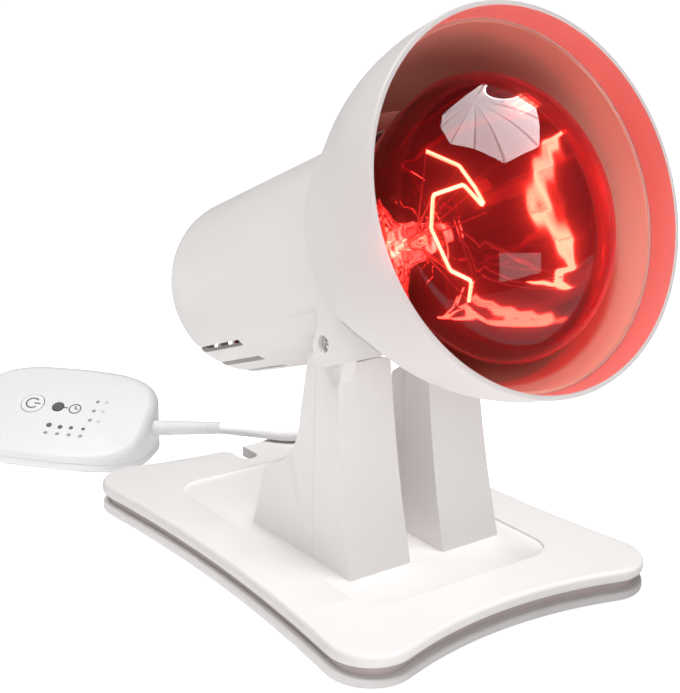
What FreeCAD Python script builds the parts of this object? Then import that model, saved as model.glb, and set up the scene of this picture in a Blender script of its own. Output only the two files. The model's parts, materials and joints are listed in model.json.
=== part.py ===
import FreeCAD, Part
import math
import os
import re
import Sketcher

# Infrared heat therapy lamp: a bell shade and reflector bulb on a head that
# tilts between two towers, a weighted base, and a corded handset.
# Millimetres. +Z is up, the lamp faces -Y, and the origin is the middle of the
# base where it rests on the table.

Vector = FreeCAD.Vector
Rotation = FreeCAD.Rotation
Placement = FreeCAD.Placement

doc = FreeCAD.newDocument("HeatLamp")

# ---------------------------------------------------------------- driving sizes
SIZES = [
    # base
    ("front_corner_x", 50.7), ("front_corner_y", -74.5), ("front_corner_round", 15.4),
    ("rear_corner_x", 47.5), ("rear_corner_y", 74.7), ("rear_corner_round", 15.0),
    ("side_hollow", 624.0), ("front_hollow", 153.0), ("rear_hollow", 147.0),
    ("feet_height", 1.45), ("tray_edge_top", 4.65), ("cover_edge_bottom", 8.5),
    ("base_top", 12.7), ("cover_plate", 2.8), ("cover_wall", 2.2), ("tray_floor", 2.0),
    ("groove_depth", 2.6), ("tray_wall", 2.0), ("edge_round", 1.5),
    ("recess_half_width", 41.2), ("recess_front", -63.6), ("recess_rear", 62.1),
    ("recess_depth", 1.0), ("recess_corner", 11.4),
    ("slot_width", 7.5), ("slot_end", 68.5), ("slot_left_round", 5.0), ("slot_right_round", 1.0),
    ("ballast_width", 84.0), ("ballast_length", 104.0), ("ballast_thickness", 3.0),
    ("foot_radius", 6.0), ("boss_radius", 4.2),
    # fasteners and fits
    ("screw_radius", 1.3), ("screw_head_radius", 2.7), ("screw_head_height", 1.8),
    ("screw_fit", 0.05), ("hole_fit", 0.3), ("part_gap", 0.15),
    # towers
    ("tower_inner", 7.3), ("tower_outer", 33.3), ("tower_inner_lean", 0.9),
    ("tower_outer_lean", 3.2), ("tower_foot_front", -41.4), ("tower_foot_rear", 18.2),
    ("tower_waist_front", -33.8), ("tower_waist_height", 45.0),
    ("tower_knee_rear", 11.4), ("tower_knee_height", 37.0),
    ("tower_head_front", -28.2), ("tower_head_rear", -11.2), ("tower_height", 83.5),
    ("tower_bend_rear", -7.9), ("tower_bend_height", 60.0), ("tower_wall", 2.2),
    ("seam_foot", -19.0), ("seam_head", -15.8),
    # tilting head: along its axis from the point under the middle of the housing
    ("head_y", 9.1), ("head_above", 25.3), ("head_z", "=tower_height + head_above"),
    ("head_tilt", 21.84),
    ("pivot_along", 25.6), ("pivot_drop", 29.2), ("pivot_radius", 2.0),
    ("lug_radius", 7.0), ("lug_inner", 24.6), ("lug_outer", 30.1), ("lug_room", 1.0),
    ("ear_inner", 31.5), ("ear_outer", 34.5), ("ear_bottom", 36.8),
    ("housing_rear", 81.1), ("housing_rear_radius", 33.8), ("housing_round", 18.0),
    ("housing_front", 43.0), ("housing_front_radius", 37.4), ("housing_wall", 2.0),
    ("vent_width", 3.0), ("vent_front", 37.0),
    ("shade_rear", 37.5), ("shade_neck", 42.3), ("shade_flare", 51.8),
    ("shade_flare_at", 60.0), ("rim_at", 101.4), ("rim_radius", 60.9),
    ("rim_lip", 1.8), ("step_at", 91.2), ("shade_wall", 2.0), ("liner_wall", 0.8),
    # bulb and holder
    ("lamp_side", 3.0), ("lamp_droop", 2.0), ("bulb_radius", 46.2), ("bulb_face", 98.0),
    ("glass_wall", 0.8), ("neck_radius", 14.2), ("neck_end", -12.0),
    ("cap_radius", 13.1), ("cap_rear", -38.0), ("shell_radius", 13.9),
    ("holder_radius", 19.5), ("holder_front", -16.0), ("holder_rear", -54.0),
    ("filament_reach", 1.0), ("filament_wire", 0.7), ("support_wire", 0.3),
    # handset
    ("handset_x", -43.8), ("handset_y", 150.2), ("handset_turn", -50.0),
    ("handset_half_length", 41.0), ("handset_half_width", 24.3), ("handset_front", 6.0),
    ("handset_slope", 28.0), ("handset_wall", 1.8), ("handset_round", 4.0),
    ("handset_seam", 3.6), ("power_radius", 5.0), ("timer_radius", 2.4),
    ("lens_radius", 0.8), ("button_gap", 0.3), ("button_travel", 0.6), ("button_proud", 0.3),
    ("board_depth", 5.6), ("board_thickness", 1.2),
    # leads
    ("lead_diameter", 5.0), ("relief_length", 30.0), ("relief_end", 3.1),
    ("relief_rise", 5.9), ("base_relief_length", 22.0), ("gland_y", 56.0), ("gland_z", 6.6),
    ("inlet_bore", 2.7), ("coil_x", 101.5), ("coil_y", 110.0), ("coil_radius", 27.5),
]

sheet = doc.addObject("Spreadsheet::Sheet", "Sizes")
for row, (alias, number) in enumerate(SIZES, start=1):
    sheet.set("A%d" % row, alias)
    sheet.set("B%d" % row, str(number))
    sheet.setAlias("B%d" % row, alias)
doc.recompute()

nodes = {}


def bind(text):
    """Turn {alias} into a reference to the sheet."""
    return re.sub(r"\{(\w+)\}", r"Sizes.\1", text)


def value(text):
    """The number that a size expression stands for now."""
    return float(sheet.evalExpression(bind(text)))


# ------------------------------------------------------------- building helpers
def make_node(label, item):
    """Name a finished sub-part: the label is its file and node name."""
    item.Label = label
    nodes[label] = item
    return item


def role_plane(body, role):
    return [item for item in body.Origin.OriginFeatures if item.Role == role][0]


def new_sketch(body, name, role):
    sketch = body.newObject("Sketcher::SketchObject", name)
    sketch.AttachmentSupport = [(role_plane(body, role), "")]
    sketch.MapMode = "FlatFace"
    return sketch


def draw(sketch, corners):
    """Closed outline. A corner is (a, b), or (a, b, via_a, via_b) for an arc to it.

    Every corner is held at its two expressions."""
    spots = [Vector(value(corner[0]), value(corner[1]), 0) for corner in corners]
    count = len(corners)
    for index in range(count):
        start = spots[index]
        end = spots[(index + 1) % count]
        corner = corners[(index + 1) % count]
        if len(corner) == 4:
            via = Vector(value(corner[2]), value(corner[3]), 0)
            sketch.addGeometry(Part.Arc(start, via, end), False)
        else:
            sketch.addGeometry(Part.LineSegment(start, end), False)
    ends = []
    for index in range(count):
        forward = Vector(*edge_start(sketch, index)).distanceToPoint(spots[index]) < 1e-6
        ends.append((1, 2) if forward else (2, 1))
    for index in range(count):
        after = (index + 1) % count
        sketch.addConstraint(Sketcher.Constraint(
            "Coincident", index, ends[index][1], after, ends[after][0]))
    for index, corner in enumerate(corners):
        pin_point(sketch, index, ends[index][0], corner[0], "DistanceX", -2)
        pin_point(sketch, index, ends[index][0], corner[1], "DistanceY", -1)


def edge_start(sketch, index):
    point = sketch.getPoint(index, 1)
    return point.x, point.y, 0


def pin_point(sketch, index, end, text, kind, axis):
    number = value(text)
    if abs(number) < 1e-9:
        sketch.addConstraint(Sketcher.Constraint("PointOnObject", index, end, axis))
        return
    place = sketch.addConstraint(Sketcher.Constraint(kind, -1, 1, index, end, number))
    sketch.setExpression("Constraints[%d]" % place, bind(text))


def padded(name, role, corners, length, start="0"):
    """Outline pulled out to a length, from a start along the plane's normal."""
    body = doc.addObject("PartDesign::Body", name)
    sketch = new_sketch(body, name + "_outline", role)
    draw(sketch, corners)
    sketch.setExpression("AttachmentOffset.Base.z", bind(start))
    pad = body.newObject("PartDesign::Pad", name + "_pad")
    pad.Profile = sketch
    pad.setExpression("Length", bind(length))
    return body


def turned(name, corners):
    """Outline in the YZ plane turned round the Y axis."""
    body = doc.addObject("PartDesign::Body", name)
    sketch = new_sketch(body, name + "_outline", "YZ_Plane")
    draw(sketch, corners)
    turn = body.newObject("PartDesign::Revolution", name + "_turn")
    turn.Profile = sketch
    turn.ReferenceAxis = (sketch, ["H_Axis"])
    turn.Angle = 360
    return body


TURNS = {
    "+z": Rotation(),
    "+x": Rotation(Vector(0, 1, 0), 90),
    "-x": Rotation(Vector(0, 1, 0), -90),
    "+y": Rotation(Vector(1, 0, 0), -90),
    "-y": Rotation(Vector(1, 0, 0), 90),
}


def seat(item, spot, way):
    item.Placement = Placement(Vector(), TURNS[way])
    for axis, text in zip("xyz", spot):
        item.setExpression("Placement.Base." + axis, bind(text))


def rod(name, radius, length, spot, way="+z"):
    item = doc.addObject("Part::Cylinder", name)
    seat(item, spot, way)
    item.setExpression("Radius", bind(radius))
    item.setExpression("Height", bind(length))
    return item


def taper(name, radius, end_radius, length, spot, way="+z"):
    item = doc.addObject("Part::Cone", name)
    seat(item, spot, way)
    item.setExpression("Radius1", bind(radius))
    item.setExpression("Radius2", bind(end_radius))
    item.setExpression("Height", bind(length))
    return item


def block(name, size, spot):
    item = doc.addObject("Part::Box", name)
    seat(item, spot, "+z")
    for side, text in zip(("Length", "Width", "Height"), size):
        item.setExpression(side, bind(text))
    return item


def joined(name, parts):
    item = doc.addObject("Part::MultiFuse", name)
    item.Shapes = parts
    item.Refine = True
    return item


def shared(name, first, second):
    item = doc.addObject("Part::Common", name)
    item.Base = first
    item.Tool = second
    return item


def without(name, base, tools):
    item = doc.addObject("Part::Cut", name)
    item.Base = base
    item.Tool = tools[0] if len(tools) == 1 else joined(name + "_tools", tools)
    return item


def group(name, parts):
    """Identical pieces that share one node."""
    item = doc.addObject("Part::Compound", name)
    item.Links = parts
    return item


def mirrored(name, source):
    """The same piece on the other side of the YZ plane."""
    item = doc.addObject("Part::Mirroring", name)
    item.Source = source
    item.Base = Vector()
    item.Normal = Vector(1, 0, 0)
    return item


def shaped(name, shape):
    """A shape that neither PartDesign nor the Part primitives make."""
    item = doc.addObject("Part::Feature", name)
    item.Shape = shape
    return item


def screw(name, spot, way, length):
    """Round-headed screw: the spot is the seat of its head."""
    shank = rod(name + "_shank", "{screw_radius}", length, spot, way)
    head = rod(name + "_head", "{screw_head_radius}", "{screw_head_height}", spot, way)
    back = TURNS[way].multVec(Vector(0, 0, 1)) * -1
    for axis, step, text in zip("xyz", back, spot):
        offset = "%s + (%d) * {screw_head_height}" % (text, round(step))
        head.setExpression("Placement.Base." + axis, bind(offset))
    return joined(name, [shank, head])


def round_center(first, first_reach, second, second_reach, side):
    """The point at two given distances from two points, on the side asked for."""
    span = second - first
    length = span.Length
    along = (first_reach ** 2 - second_reach ** 2 + length ** 2) / (2 * length)
    away = math.sqrt(first_reach ** 2 - along ** 2)
    ahead = span * (1 / length)
    return first + ahead * along + Vector(-ahead.y, ahead.x, 0) * (away * side)


# ------------------------------------------------------------------------- base
def base_wire(inset, height):
    """The base's outline: four round corners joined by hollow sides."""
    corners = []
    for sign_x, end in ((1, "front"), (1, "rear"), (-1, "rear"), (-1, "front")):
        middle = Vector(sign_x * value("{%s_corner_x}" % end), value("{%s_corner_y}" % end), 0)
        corners.append((middle, value("{%s_corner_round}" % end)))
    hollows = [value("{side_hollow}"), value("{rear_hollow}"),
               value("{side_hollow}"), value("{front_hollow}")]
    centers = []
    for index, hollow in enumerate(hollows):
        start, start_round = corners[index]
        end, end_round = corners[(index + 1) % 4]
        centers.append(round_center(start, hollow + start_round, end, hollow + end_round, -1))
    edges = []
    for index, (middle, corner_round) in enumerate(corners):
        before = (centers[index - 1] - middle).normalize()
        after = (centers[index] - middle).normalize()
        radius = corner_round - inset
        across = (before + after).normalize()
        edges.append(Part.Arc(middle + before * radius, middle + across * radius,
                              middle + after * radius).toShape())
        ahead = corners[(index + 1) % 4]
        reach = hollows[index] + inset
        center = centers[index]
        first = center + (middle - center).normalize() * reach
        last = center + (ahead[0] - center).normalize() * reach
        halfway = center + ((first + last) * 0.5 - center).normalize() * reach
        edges.append(Part.Arc(first, halfway, last).toShape())
    wire = Part.Wire(edges)
    wire.translate(Vector(0, 0, height))
    return wire


def base_slab(inset, low, high):
    face = Part.Face(base_wire(inset, low))
    return face.extrude(Vector(0, 0, high - low))


def rounded_edges(solid, height, radius, outside=None):
    """Round the edges of a slab that lie at one height."""
    edges = []
    for edge in solid.Edges:
        box = edge.BoundBox
        if abs(box.ZMin - height) < 1e-4 and abs(box.ZMax - height) < 1e-4:
            edges.append(edge)
    return solid.makeFillet(radius, edges)


def slot_shape(grow, low, high):
    """The cord slot in the rear edge, or the wall round it when grown."""
    half = value("{slot_width}") / 2 + grow
    end = value("{slot_end}") - grow
    left = max(value("{slot_left_round}") - grow, 0.5)
    right = max(value("{slot_right_round}") - grow, 0.5)
    edge_y = value("{rear_corner_y} + {rear_corner_round} - 7.4")
    far = edge_y + 20
    bend = math.sqrt(0.5)
    spots = [
        Vector(-half - left, edge_y, low), Vector(-half, edge_y - left, low),
        Vector(-half, end + half, low), Vector(half, end + half, low),
        Vector(half, edge_y - right, low), Vector(half + right, edge_y, low),
        Vector(half + right, far, low), Vector(-half - left, far, low),
    ]
    left_middle = Vector(-half - left, edge_y - left, low)
    right_middle = Vector(half + right, edge_y - right, low)
    edges = [
        Part.Arc(spots[0], left_middle + Vector(left * bend, left * bend, 0), spots[1]).toShape(),
        Part.makeLine(spots[1], spots[2]),
        Part.Arc(spots[2], Vector(0, end, low), spots[3]).toShape(),
        Part.makeLine(spots[3], spots[4]),
        Part.Arc(spots[4], right_middle + Vector(-right * bend, right * bend, 0),
                 spots[5]).toShape(),
        Part.makeLine(spots[5], spots[6]),
        Part.makeLine(spots[6], spots[7]),
        Part.makeLine(spots[7], spots[0]),
    ]
    return Part.Face(Part.Wire(edges)).extrude(Vector(0, 0, high - low))


BASE_SCREWS = [(side * x, y) for side in (-1, 1) for x, y in ((46, -64), (50.5, 0), (44, 64))]
TOWER_SCREWS = [(side * 20, y) for side in (-1, 1) for y in (-30, 5)]


def recess_shape():
    """The shallow round-cornered recess that the towers stand in."""
    half = value("{recess_half_width}")
    front = value("{recess_front}")
    rear = value("{recess_rear}")
    floor = value("{base_top} - {recess_depth}")
    box = Part.makeBox(2 * half, rear - front, 5, Vector(-half, front, floor))
    upright = [edge for edge in box.Edges if edge.BoundBox.ZLength > 4]
    return box.makeFillet(value("{recess_corner}"), upright)


def build_cover():
    top = value("{base_top}")
    low = value("{cover_edge_bottom}")
    under = value("{base_top} - {cover_plate}")
    slab = rounded_edges(base_slab(0, low, top), top, value("{edge_round}"))
    slab = rounded_edges(slab, low, value("{edge_round} / 2"))
    slab = slab.cut(base_slab(value("{cover_wall}"), low - 1, under))
    rim = slot_shape(value("{cover_wall}"), low, top - 1).common(base_slab(0.3, low, top - 1))
    slab = slab.fuse(rim)
    boss_low = value("{feet_height} + {tray_floor} + 1.6")
    for x, y in BASE_SCREWS:
        boss = Part.makeCylinder(value("{boss_radius}"), under - boss_low + 0.5,
                                 Vector(x, y, boss_low))
        slab = slab.fuse(boss)
    slab = slab.cut(recess_shape())
    slab = slab.cut(slot_shape(0, low - 1, top + 1))
    pilot = value("{screw_radius} + {screw_fit}")
    for x, y in BASE_SCREWS:
        hole = Part.makeCylinder(pilot, under - boss_low, Vector(x, y, boss_low - 0.2))
        slab = slab.cut(hole)
    for x, y in TOWER_SCREWS:
        hole = Part.makeCylinder(pilot + 0.1, 6, Vector(x, y, under - 1))
        slab = slab.cut(hole)
    slab = slab.cut(gland_hole("{relief_end} + 0.35"))
    make_node("base_cover", shaped("BaseCover", slab.removeSplitter()))


def build_tray():
    low = value("{feet_height}")
    floor = value("{feet_height} + {tray_floor}")
    edge = value("{tray_edge_top}")
    wall_top = value("{base_top} - {cover_plate}")
    inner = value("{groove_depth} + {tray_wall}")
    slab = rounded_edges(base_slab(0, low, edge), edge, 1.0)
    slab = rounded_edges(slab, low, 0.8)
    slab = slab.fuse(base_slab(value("{groove_depth}"), edge - 0.5, wall_top))
    slab = slab.cut(base_slab(inner, floor, wall_top + 1))
    slot_wall = slot_shape(value("{cover_wall} + {tray_wall} + 0.3"), floor - 0.5, wall_top)
    slot_room = slot_shape(value("{cover_wall} + 0.3"), edge, wall_top + 1)
    slab = slab.fuse(slot_wall.common(base_slab(inner - 1, floor - 0.5, wall_top)))
    slab = slab.cut(slot_room)
    slab = slab.cut(slot_shape(0, low - 1, wall_top + 1))
    sink = value("{screw_head_height} + 0.2")
    for x, y in BASE_SCREWS:
        pad = Part.makeCylinder(value("{boss_radius}"), 2.05, Vector(x, y, floor - 0.5))
        slab = slab.fuse(pad)
        slab = slab.cut(Part.makeCylinder(value("{screw_head_radius} + {hole_fit}"), sink,
                                          Vector(x, y, low)))
        slab = slab.cut(Part.makeCylinder(value("{screw_radius} + {hole_fit}"), 8,
                                          Vector(x, y, low)))
    slab = slab.cut(gland_hole("{relief_end} + 0.35"))
    make_node("base_tray", shaped("BaseTray", slab.removeSplitter()))


def base_gland_spot():
    """Where the lead enters the base's right side, on the face of the groove."""
    return Vector(value("{rear_corner_x} + 11.9"), value("{gland_y}"), value("{gland_z}"))


def gland_hole(radius):
    """Room for the lead's gland through the wall and the edges beside it."""
    start = base_gland_spot() - Vector(9, 0, 0)
    return Part.makeCylinder(value(radius), 16, start, Vector(1, 0, 0))


def build_base_parts():
    floor = "{feet_height} + {tray_floor}"
    ballast = block("Ballast", ("{ballast_width}", "{ballast_length}", "{ballast_thickness}"),
                    ("-{ballast_width} / 2", "-{ballast_length} / 2 - 6", floor))
    make_node("ballast_plate", ballast)
    feet = []
    screws = []
    for index, (x, y) in enumerate(((-52, -73), (52, -73), (-47, 76), (47, 76), (0, 0))):
        feet.append(rod("Foot%d" % index, "{foot_radius}", "{feet_height}",
                        (str(x), str(y), "0")))
    make_node("rubber_feet", group("Feet", feet))
    seat_height = "{feet_height} + {screw_head_height} + 0.2"
    for index, (x, y) in enumerate(BASE_SCREWS):
        screws.append(screw("BaseScrew%d" % index, (str(x), str(y), seat_height), "+z", "5.4"))
    make_node("base_screws", group("BaseScrews", screws))
    screws = []
    for index, (x, y) in enumerate(TOWER_SCREWS):
        screws.append(screw("TowerScrew%d" % index,
                            (str(x), str(y), "{base_top} - {cover_plate}"), "+z", "10"))
    make_node("tower_screws", group("TowerScrews", screws))


# ----------------------------------------------------------------------- towers
def tower_corners(wall, roof):
    """Side view of a tower in the YZ plane, drawn in by a wall."""
    foot = "{base_top} - {recess_depth}" if wall == "0" else "{base_top} - 6"
    return [
        ("{tower_foot_front} + " + wall, foot),
        ("{tower_foot_rear} - " + wall, foot),
        ("{tower_knee_rear} - " + wall, "{tower_knee_height} - " + wall + " * 0.6"),
        ("{tower_bend_rear} - " + wall, "{tower_bend_height}",
         "{tower_knee_rear} * 0.24 + {tower_bend_rear} * 0.76 - 1.0 - " + wall,
         "{tower_knee_height} * 0.57 + {tower_bend_height} * 0.43 - " + wall + " * 0.6"),
        ("{tower_head_rear} - " + wall, "{tower_height} - " + roof),
        ("{tower_head_front} + " + wall, "{tower_height} - " + roof),
        ("{tower_foot_front} + " + wall, foot,
         "{tower_waist_front} + " + wall, "{tower_waist_height}"),
    ][:-1], ("{tower_foot_front} + " + wall, foot,
             "{tower_waist_front} + " + wall, "{tower_waist_height}")


def tower_block(name, wall, roof):
    """One tower as a solid, drawn in on every side by a wall."""
    corners, front_arc = tower_corners(wall, roof)
    corners[0] = front_arc
    body = padded(name, "YZ_Plane", corners, "{tower_outer} - {tower_inner} - 2 * " + wall,
                  "{tower_inner} + " + wall)
    high = "{tower_height} + 2"
    low = "{base_top} - 8"
    outer = padded(name + "_outer_lean", "XZ_Plane", [
        ("{tower_outer} - " + wall, low),
        ("{tower_outer} + 9", low),
        ("{tower_outer} + 9", high),
        ("{tower_outer} - {tower_outer_lean} - " + wall, high),
    ], "160", "-80")
    inner = padded(name + "_inner_lean", "XZ_Plane", [
        ("{tower_inner} + " + wall, low),
        ("{tower_inner} + {tower_inner_lean} + " + wall, high),
        ("{tower_inner} - 9", high),
        ("{tower_inner} - 9", low),
    ], "160", "-80")
    return without(name + "_leaning", body, [outer, inner])


def pivot_spot(x):
    """A point on the tilt axis."""
    tilt = math.radians(value("{head_tilt}"))
    along = value("{pivot_along}")
    drop = value("{pivot_drop}")
    y = value("{head_y}") - along * math.cos(tilt) - drop * math.sin(tilt)
    z = value("{head_z}") + along * math.sin(tilt) - drop * math.cos(tilt)
    return Vector(x, y, z)


def at_pivot(name, radius, start, end):
    """A round bar on the tilt axis between two X positions."""
    spot = pivot_spot(value(start))
    length = value(end) - value(start)
    item = doc.addObject("Part::Cylinder", name)
    item.Placement = Placement(spot, TURNS["+x"])
    item.setExpression("Radius", bind(radius))
    item.Height = length
    item.setExpression("Height", bind("(%s) - (%s)" % (end, start)))
    return item


TILT_UP = 13.0
TILT_DOWN = 32.0


def head_sweep(name, grown):
    """The room that the round housing sweeps as the head tilts."""
    pivot = pivot_spot(0)
    bars = []
    for index, turn in enumerate((-TILT_UP, -6.0, 0.0, 8.0, 16.0, 24.0, TILT_DOWN)):
        bar = Part.makeCylinder(value("{housing_front_radius} + {lug_room} + " + grown), 150,
                                Vector(0, 90, 0), Vector(0, -1, 0))
        bar.Placement = head_place()
        bar.rotate(pivot, Vector(1, 0, 0), turn)
        bars.append(bar)
    return shaped(name, bars[0].multiFuse(bars[1:]))


def build_towers():
    outside = without("TowerScooped", tower_block("TowerOutside", "0", "0"),
                      [head_sweep("HeadRoom", "0")])
    hollow = without("TowerHollow", tower_block("TowerInside", "{tower_wall}", "{tower_wall}"),
                     [head_sweep("HollowRoom", "{tower_wall}")])
    shell = without("TowerShell", outside, [hollow])
    gap = "{part_gap} / 2"
    reach = "{tower_outer} + 20"
    slant = "({seam_head} - {seam_foot}) / ({tower_height} - {base_top})"
    seam_top = "{seam_head} + 20 * " + slant
    seam_low = "{seam_foot} - 12 * " + slant
    front_side = padded("TowerFrontSide", "YZ_Plane", [
        (seam_low + " - " + gap, "{base_top} - 12"),
        (seam_top + " - " + gap, "{tower_height} + 20"),
        ("-80", "{tower_height} + 20"),
        ("-80", "{base_top} - 12"),
    ], reach)
    rear_side = padded("TowerRearSide", "YZ_Plane", [
        (seam_low + " + " + gap, "{base_top} - 12"),
        ("60", "{base_top} - 12"),
        ("60", "{tower_height} + 20"),
        (seam_top + " + " + gap, "{tower_height} + 20"),
    ], reach)
    foot = "{base_top} - {recess_depth}"
    front_bosses = joined("TowerFrontBosses", [
        rod("FrontFootBoss", "{boss_radius}", "14", ("20", "-30", foot)),
        rod("FrontCoverBoss", "3", "16", ("20", "-34.5", "50"), "+y"),
    ])
    front = joined("TowerFrontSolid", [
        shared("TowerFrontShell", shell, front_side),
        shared("TowerFrontBossPart", shared("FrontBossesIn", front_bosses, outside), front_side),
        build_lug(),
    ])
    rear_bosses = joined("TowerRearBosses", [
        rod("RearFootBoss", "{boss_radius}", "14", ("20", "5", foot)),
        rod("RearCoverBoss", "4", "40", ("20", "-17.8", "50"), "+y"),
    ])
    rear = joined("TowerRearSolid", [
        shared("TowerRearShell", shell, rear_side),
        shared("TowerRearBossPart", shared("RearBossesIn", rear_bosses, outside), rear_side),
    ])
    pilot = "{screw_radius} + {screw_fit}"
    front = without("TowerFrontRight", front, [
        rod("FrontFootPilot", pilot, "11", ("20", "-30", "{base_top} - 3")),
        rod("FrontCoverPilot", pilot, "20", ("20", "-30", "50"), "+y"),
        at_pivot("LugBore", "{pivot_radius} + {screw_fit}", "{lug_inner} - 9", "{lug_outer} + 1"),
        at_pivot("NutPocket", "3.9", "{lug_inner} - 9", "{lug_inner} + 2"),
    ])
    rear = without("TowerRearRight", rear, [
        rod("RearFootPilot", pilot, "11", ("20", "5", "{base_top} - 3")),
        rod("RearCoverHole", "{screw_radius} + {hole_fit}", "40", ("20", "-20", "50"), "+y"),
        rod("RearCoverSink", "{screw_head_radius} + {hole_fit}", "20", ("20", "-9.8", "50"), "+y"),
    ])
    make_node("tower_front_right", front)
    make_node("tower_rear_right", rear)
    make_node("tower_front_left", mirrored("TowerFrontLeft", front))
    make_node("tower_rear_left", mirrored("TowerRearLeft", rear))
    cover_screw = screw("CoverScrew", ("20", "-9.8", "50"), "-y", "17")
    make_node("tower_cover_screws", group("TowerCoverScrews", [
        cover_screw, mirrored("CoverScrewLeft", cover_screw)]))


def build_lug():
    """The tongue on the tower's top that carries the head's ear."""
    pivot = pivot_spot(0)
    y = str(round(pivot.y, 3))
    z = str(round(pivot.z, 3))
    neck = padded("LugNeck", "YZ_Plane", [
        ("{tower_head_front} - 0.8", "{tower_height} - 6"),
        ("{seam_head} - 0.5", "{tower_height} - 6"),
        (y + " + {lug_radius}", z),
        (y + " - {lug_radius}", z),
    ], "{lug_outer} - {lug_inner}", "{lug_inner}")
    disc = at_pivot("LugDisc", "{lug_radius}", "{lug_inner}", "{lug_outer}")
    return joined("Lug", [neck, disc])


def build_pivots():
    shank = at_pivot("PivotShank", "{pivot_radius}", "{lug_inner} - 1", "{ear_outer} - 2")
    head = at_pivot("PivotHead", "2.94", "{lug_outer} + 0.9", "{ear_outer} - 0.9")
    recess = at_pivot("PivotRecess", "1.3", "{ear_outer} - 2", "{ear_outer}")
    bolt = without("PivotScrew", joined("PivotScrewSolid", [shank, head]), [recess])
    make_node("pivot_screws", group("PivotScrews", [bolt, mirrored("PivotScrewLeft", bolt)]))
    ring = without("PivotWasher", at_pivot("WasherDisc", "6", "{lug_outer}", "{lug_outer} + 0.8"),
                   [at_pivot("WasherHole", "2.1", "{lug_outer} - 1", "{lug_outer} + 2")])
    make_node("pivot_washers", group("PivotWashers", [ring, mirrored("PivotWasherLeft", ring)]))
    nut = doc.addObject("Part::Prism", "NutPrism")
    nut.Polygon = 6
    nut.Circumradius = 3.8
    nut.Height = 3.0
    nut.Placement = Placement(pivot_spot(value("{lug_inner} - 1")), TURNS["+x"])
    nut = without("PivotNut", nut, [
        at_pivot("NutHole", "{pivot_radius} + 0.03", "{lug_inner} - 3", "{lug_inner} + 3")])
    make_node("pivot_nuts", group("PivotNuts", [nut, mirrored("PivotNutLeft", nut)]))


# ------------------------------------------------------------------------- head
def head_place(side=0.0, rise=0.0):
    """The head's own axes: -Y forward along the light, placed at its rest tilt."""
    place = Placement(Vector(0, value("{head_y}"), value("{head_z}")),
                      Rotation(Vector(1, 0, 0), -value("{head_tilt}")))
    return place.multiply(Placement(Vector(side, 0, rise), Rotation()))


def on_head(item):
    item.Placement = head_place()
    return item


def with_lamp(item):
    """Bulb and holder sit a little to one side of the shade's axis."""
    item.Placement = head_place(value("{lamp_side}"), -value("{lamp_droop}"))
    return item


def housing_corners(inset, front):
    corner = "{housing_round} - " + inset
    middle = "{housing_rear} - {housing_round}"
    rear_radius = "{housing_rear_radius} - " + inset
    return [
        ("{housing_rear} - " + inset, "0"),
        ("{housing_rear} - " + inset, "{housing_rear_radius} - {housing_round}"),
        (middle, rear_radius,
         middle + " + (" + corner + ") * 0.7071",
         "{housing_rear_radius} - {housing_round} + (" + corner + ") * 0.7071"),
        ("-30", "{housing_front_radius} - " + inset),
        (front, "{housing_front_radius} - " + inset),
        (front, "0"),
    ]


def ear_body():
    bottom = "-{ear_bottom}"
    return padded("Ear", "YZ_Plane", [
        ("-{pivot_along} + 7.2", "-{pivot_drop} - 3.4"),
        ("-{pivot_along} + 4.2", bottom, "-{pivot_along} + 6.6", bottom + " + 1.9"),
        ("-66", bottom),
        ("-66", "-10"),
        ("-{pivot_along} - 0.4", "-10"),
        ("-{pivot_along} - 0.4", "-{pivot_drop} + 8.6"),
        ("-{pivot_along} + 6.2", "-{pivot_drop} + 0.2"),
    ], "{ear_outer} - {ear_inner}", "{ear_inner}")


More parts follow.
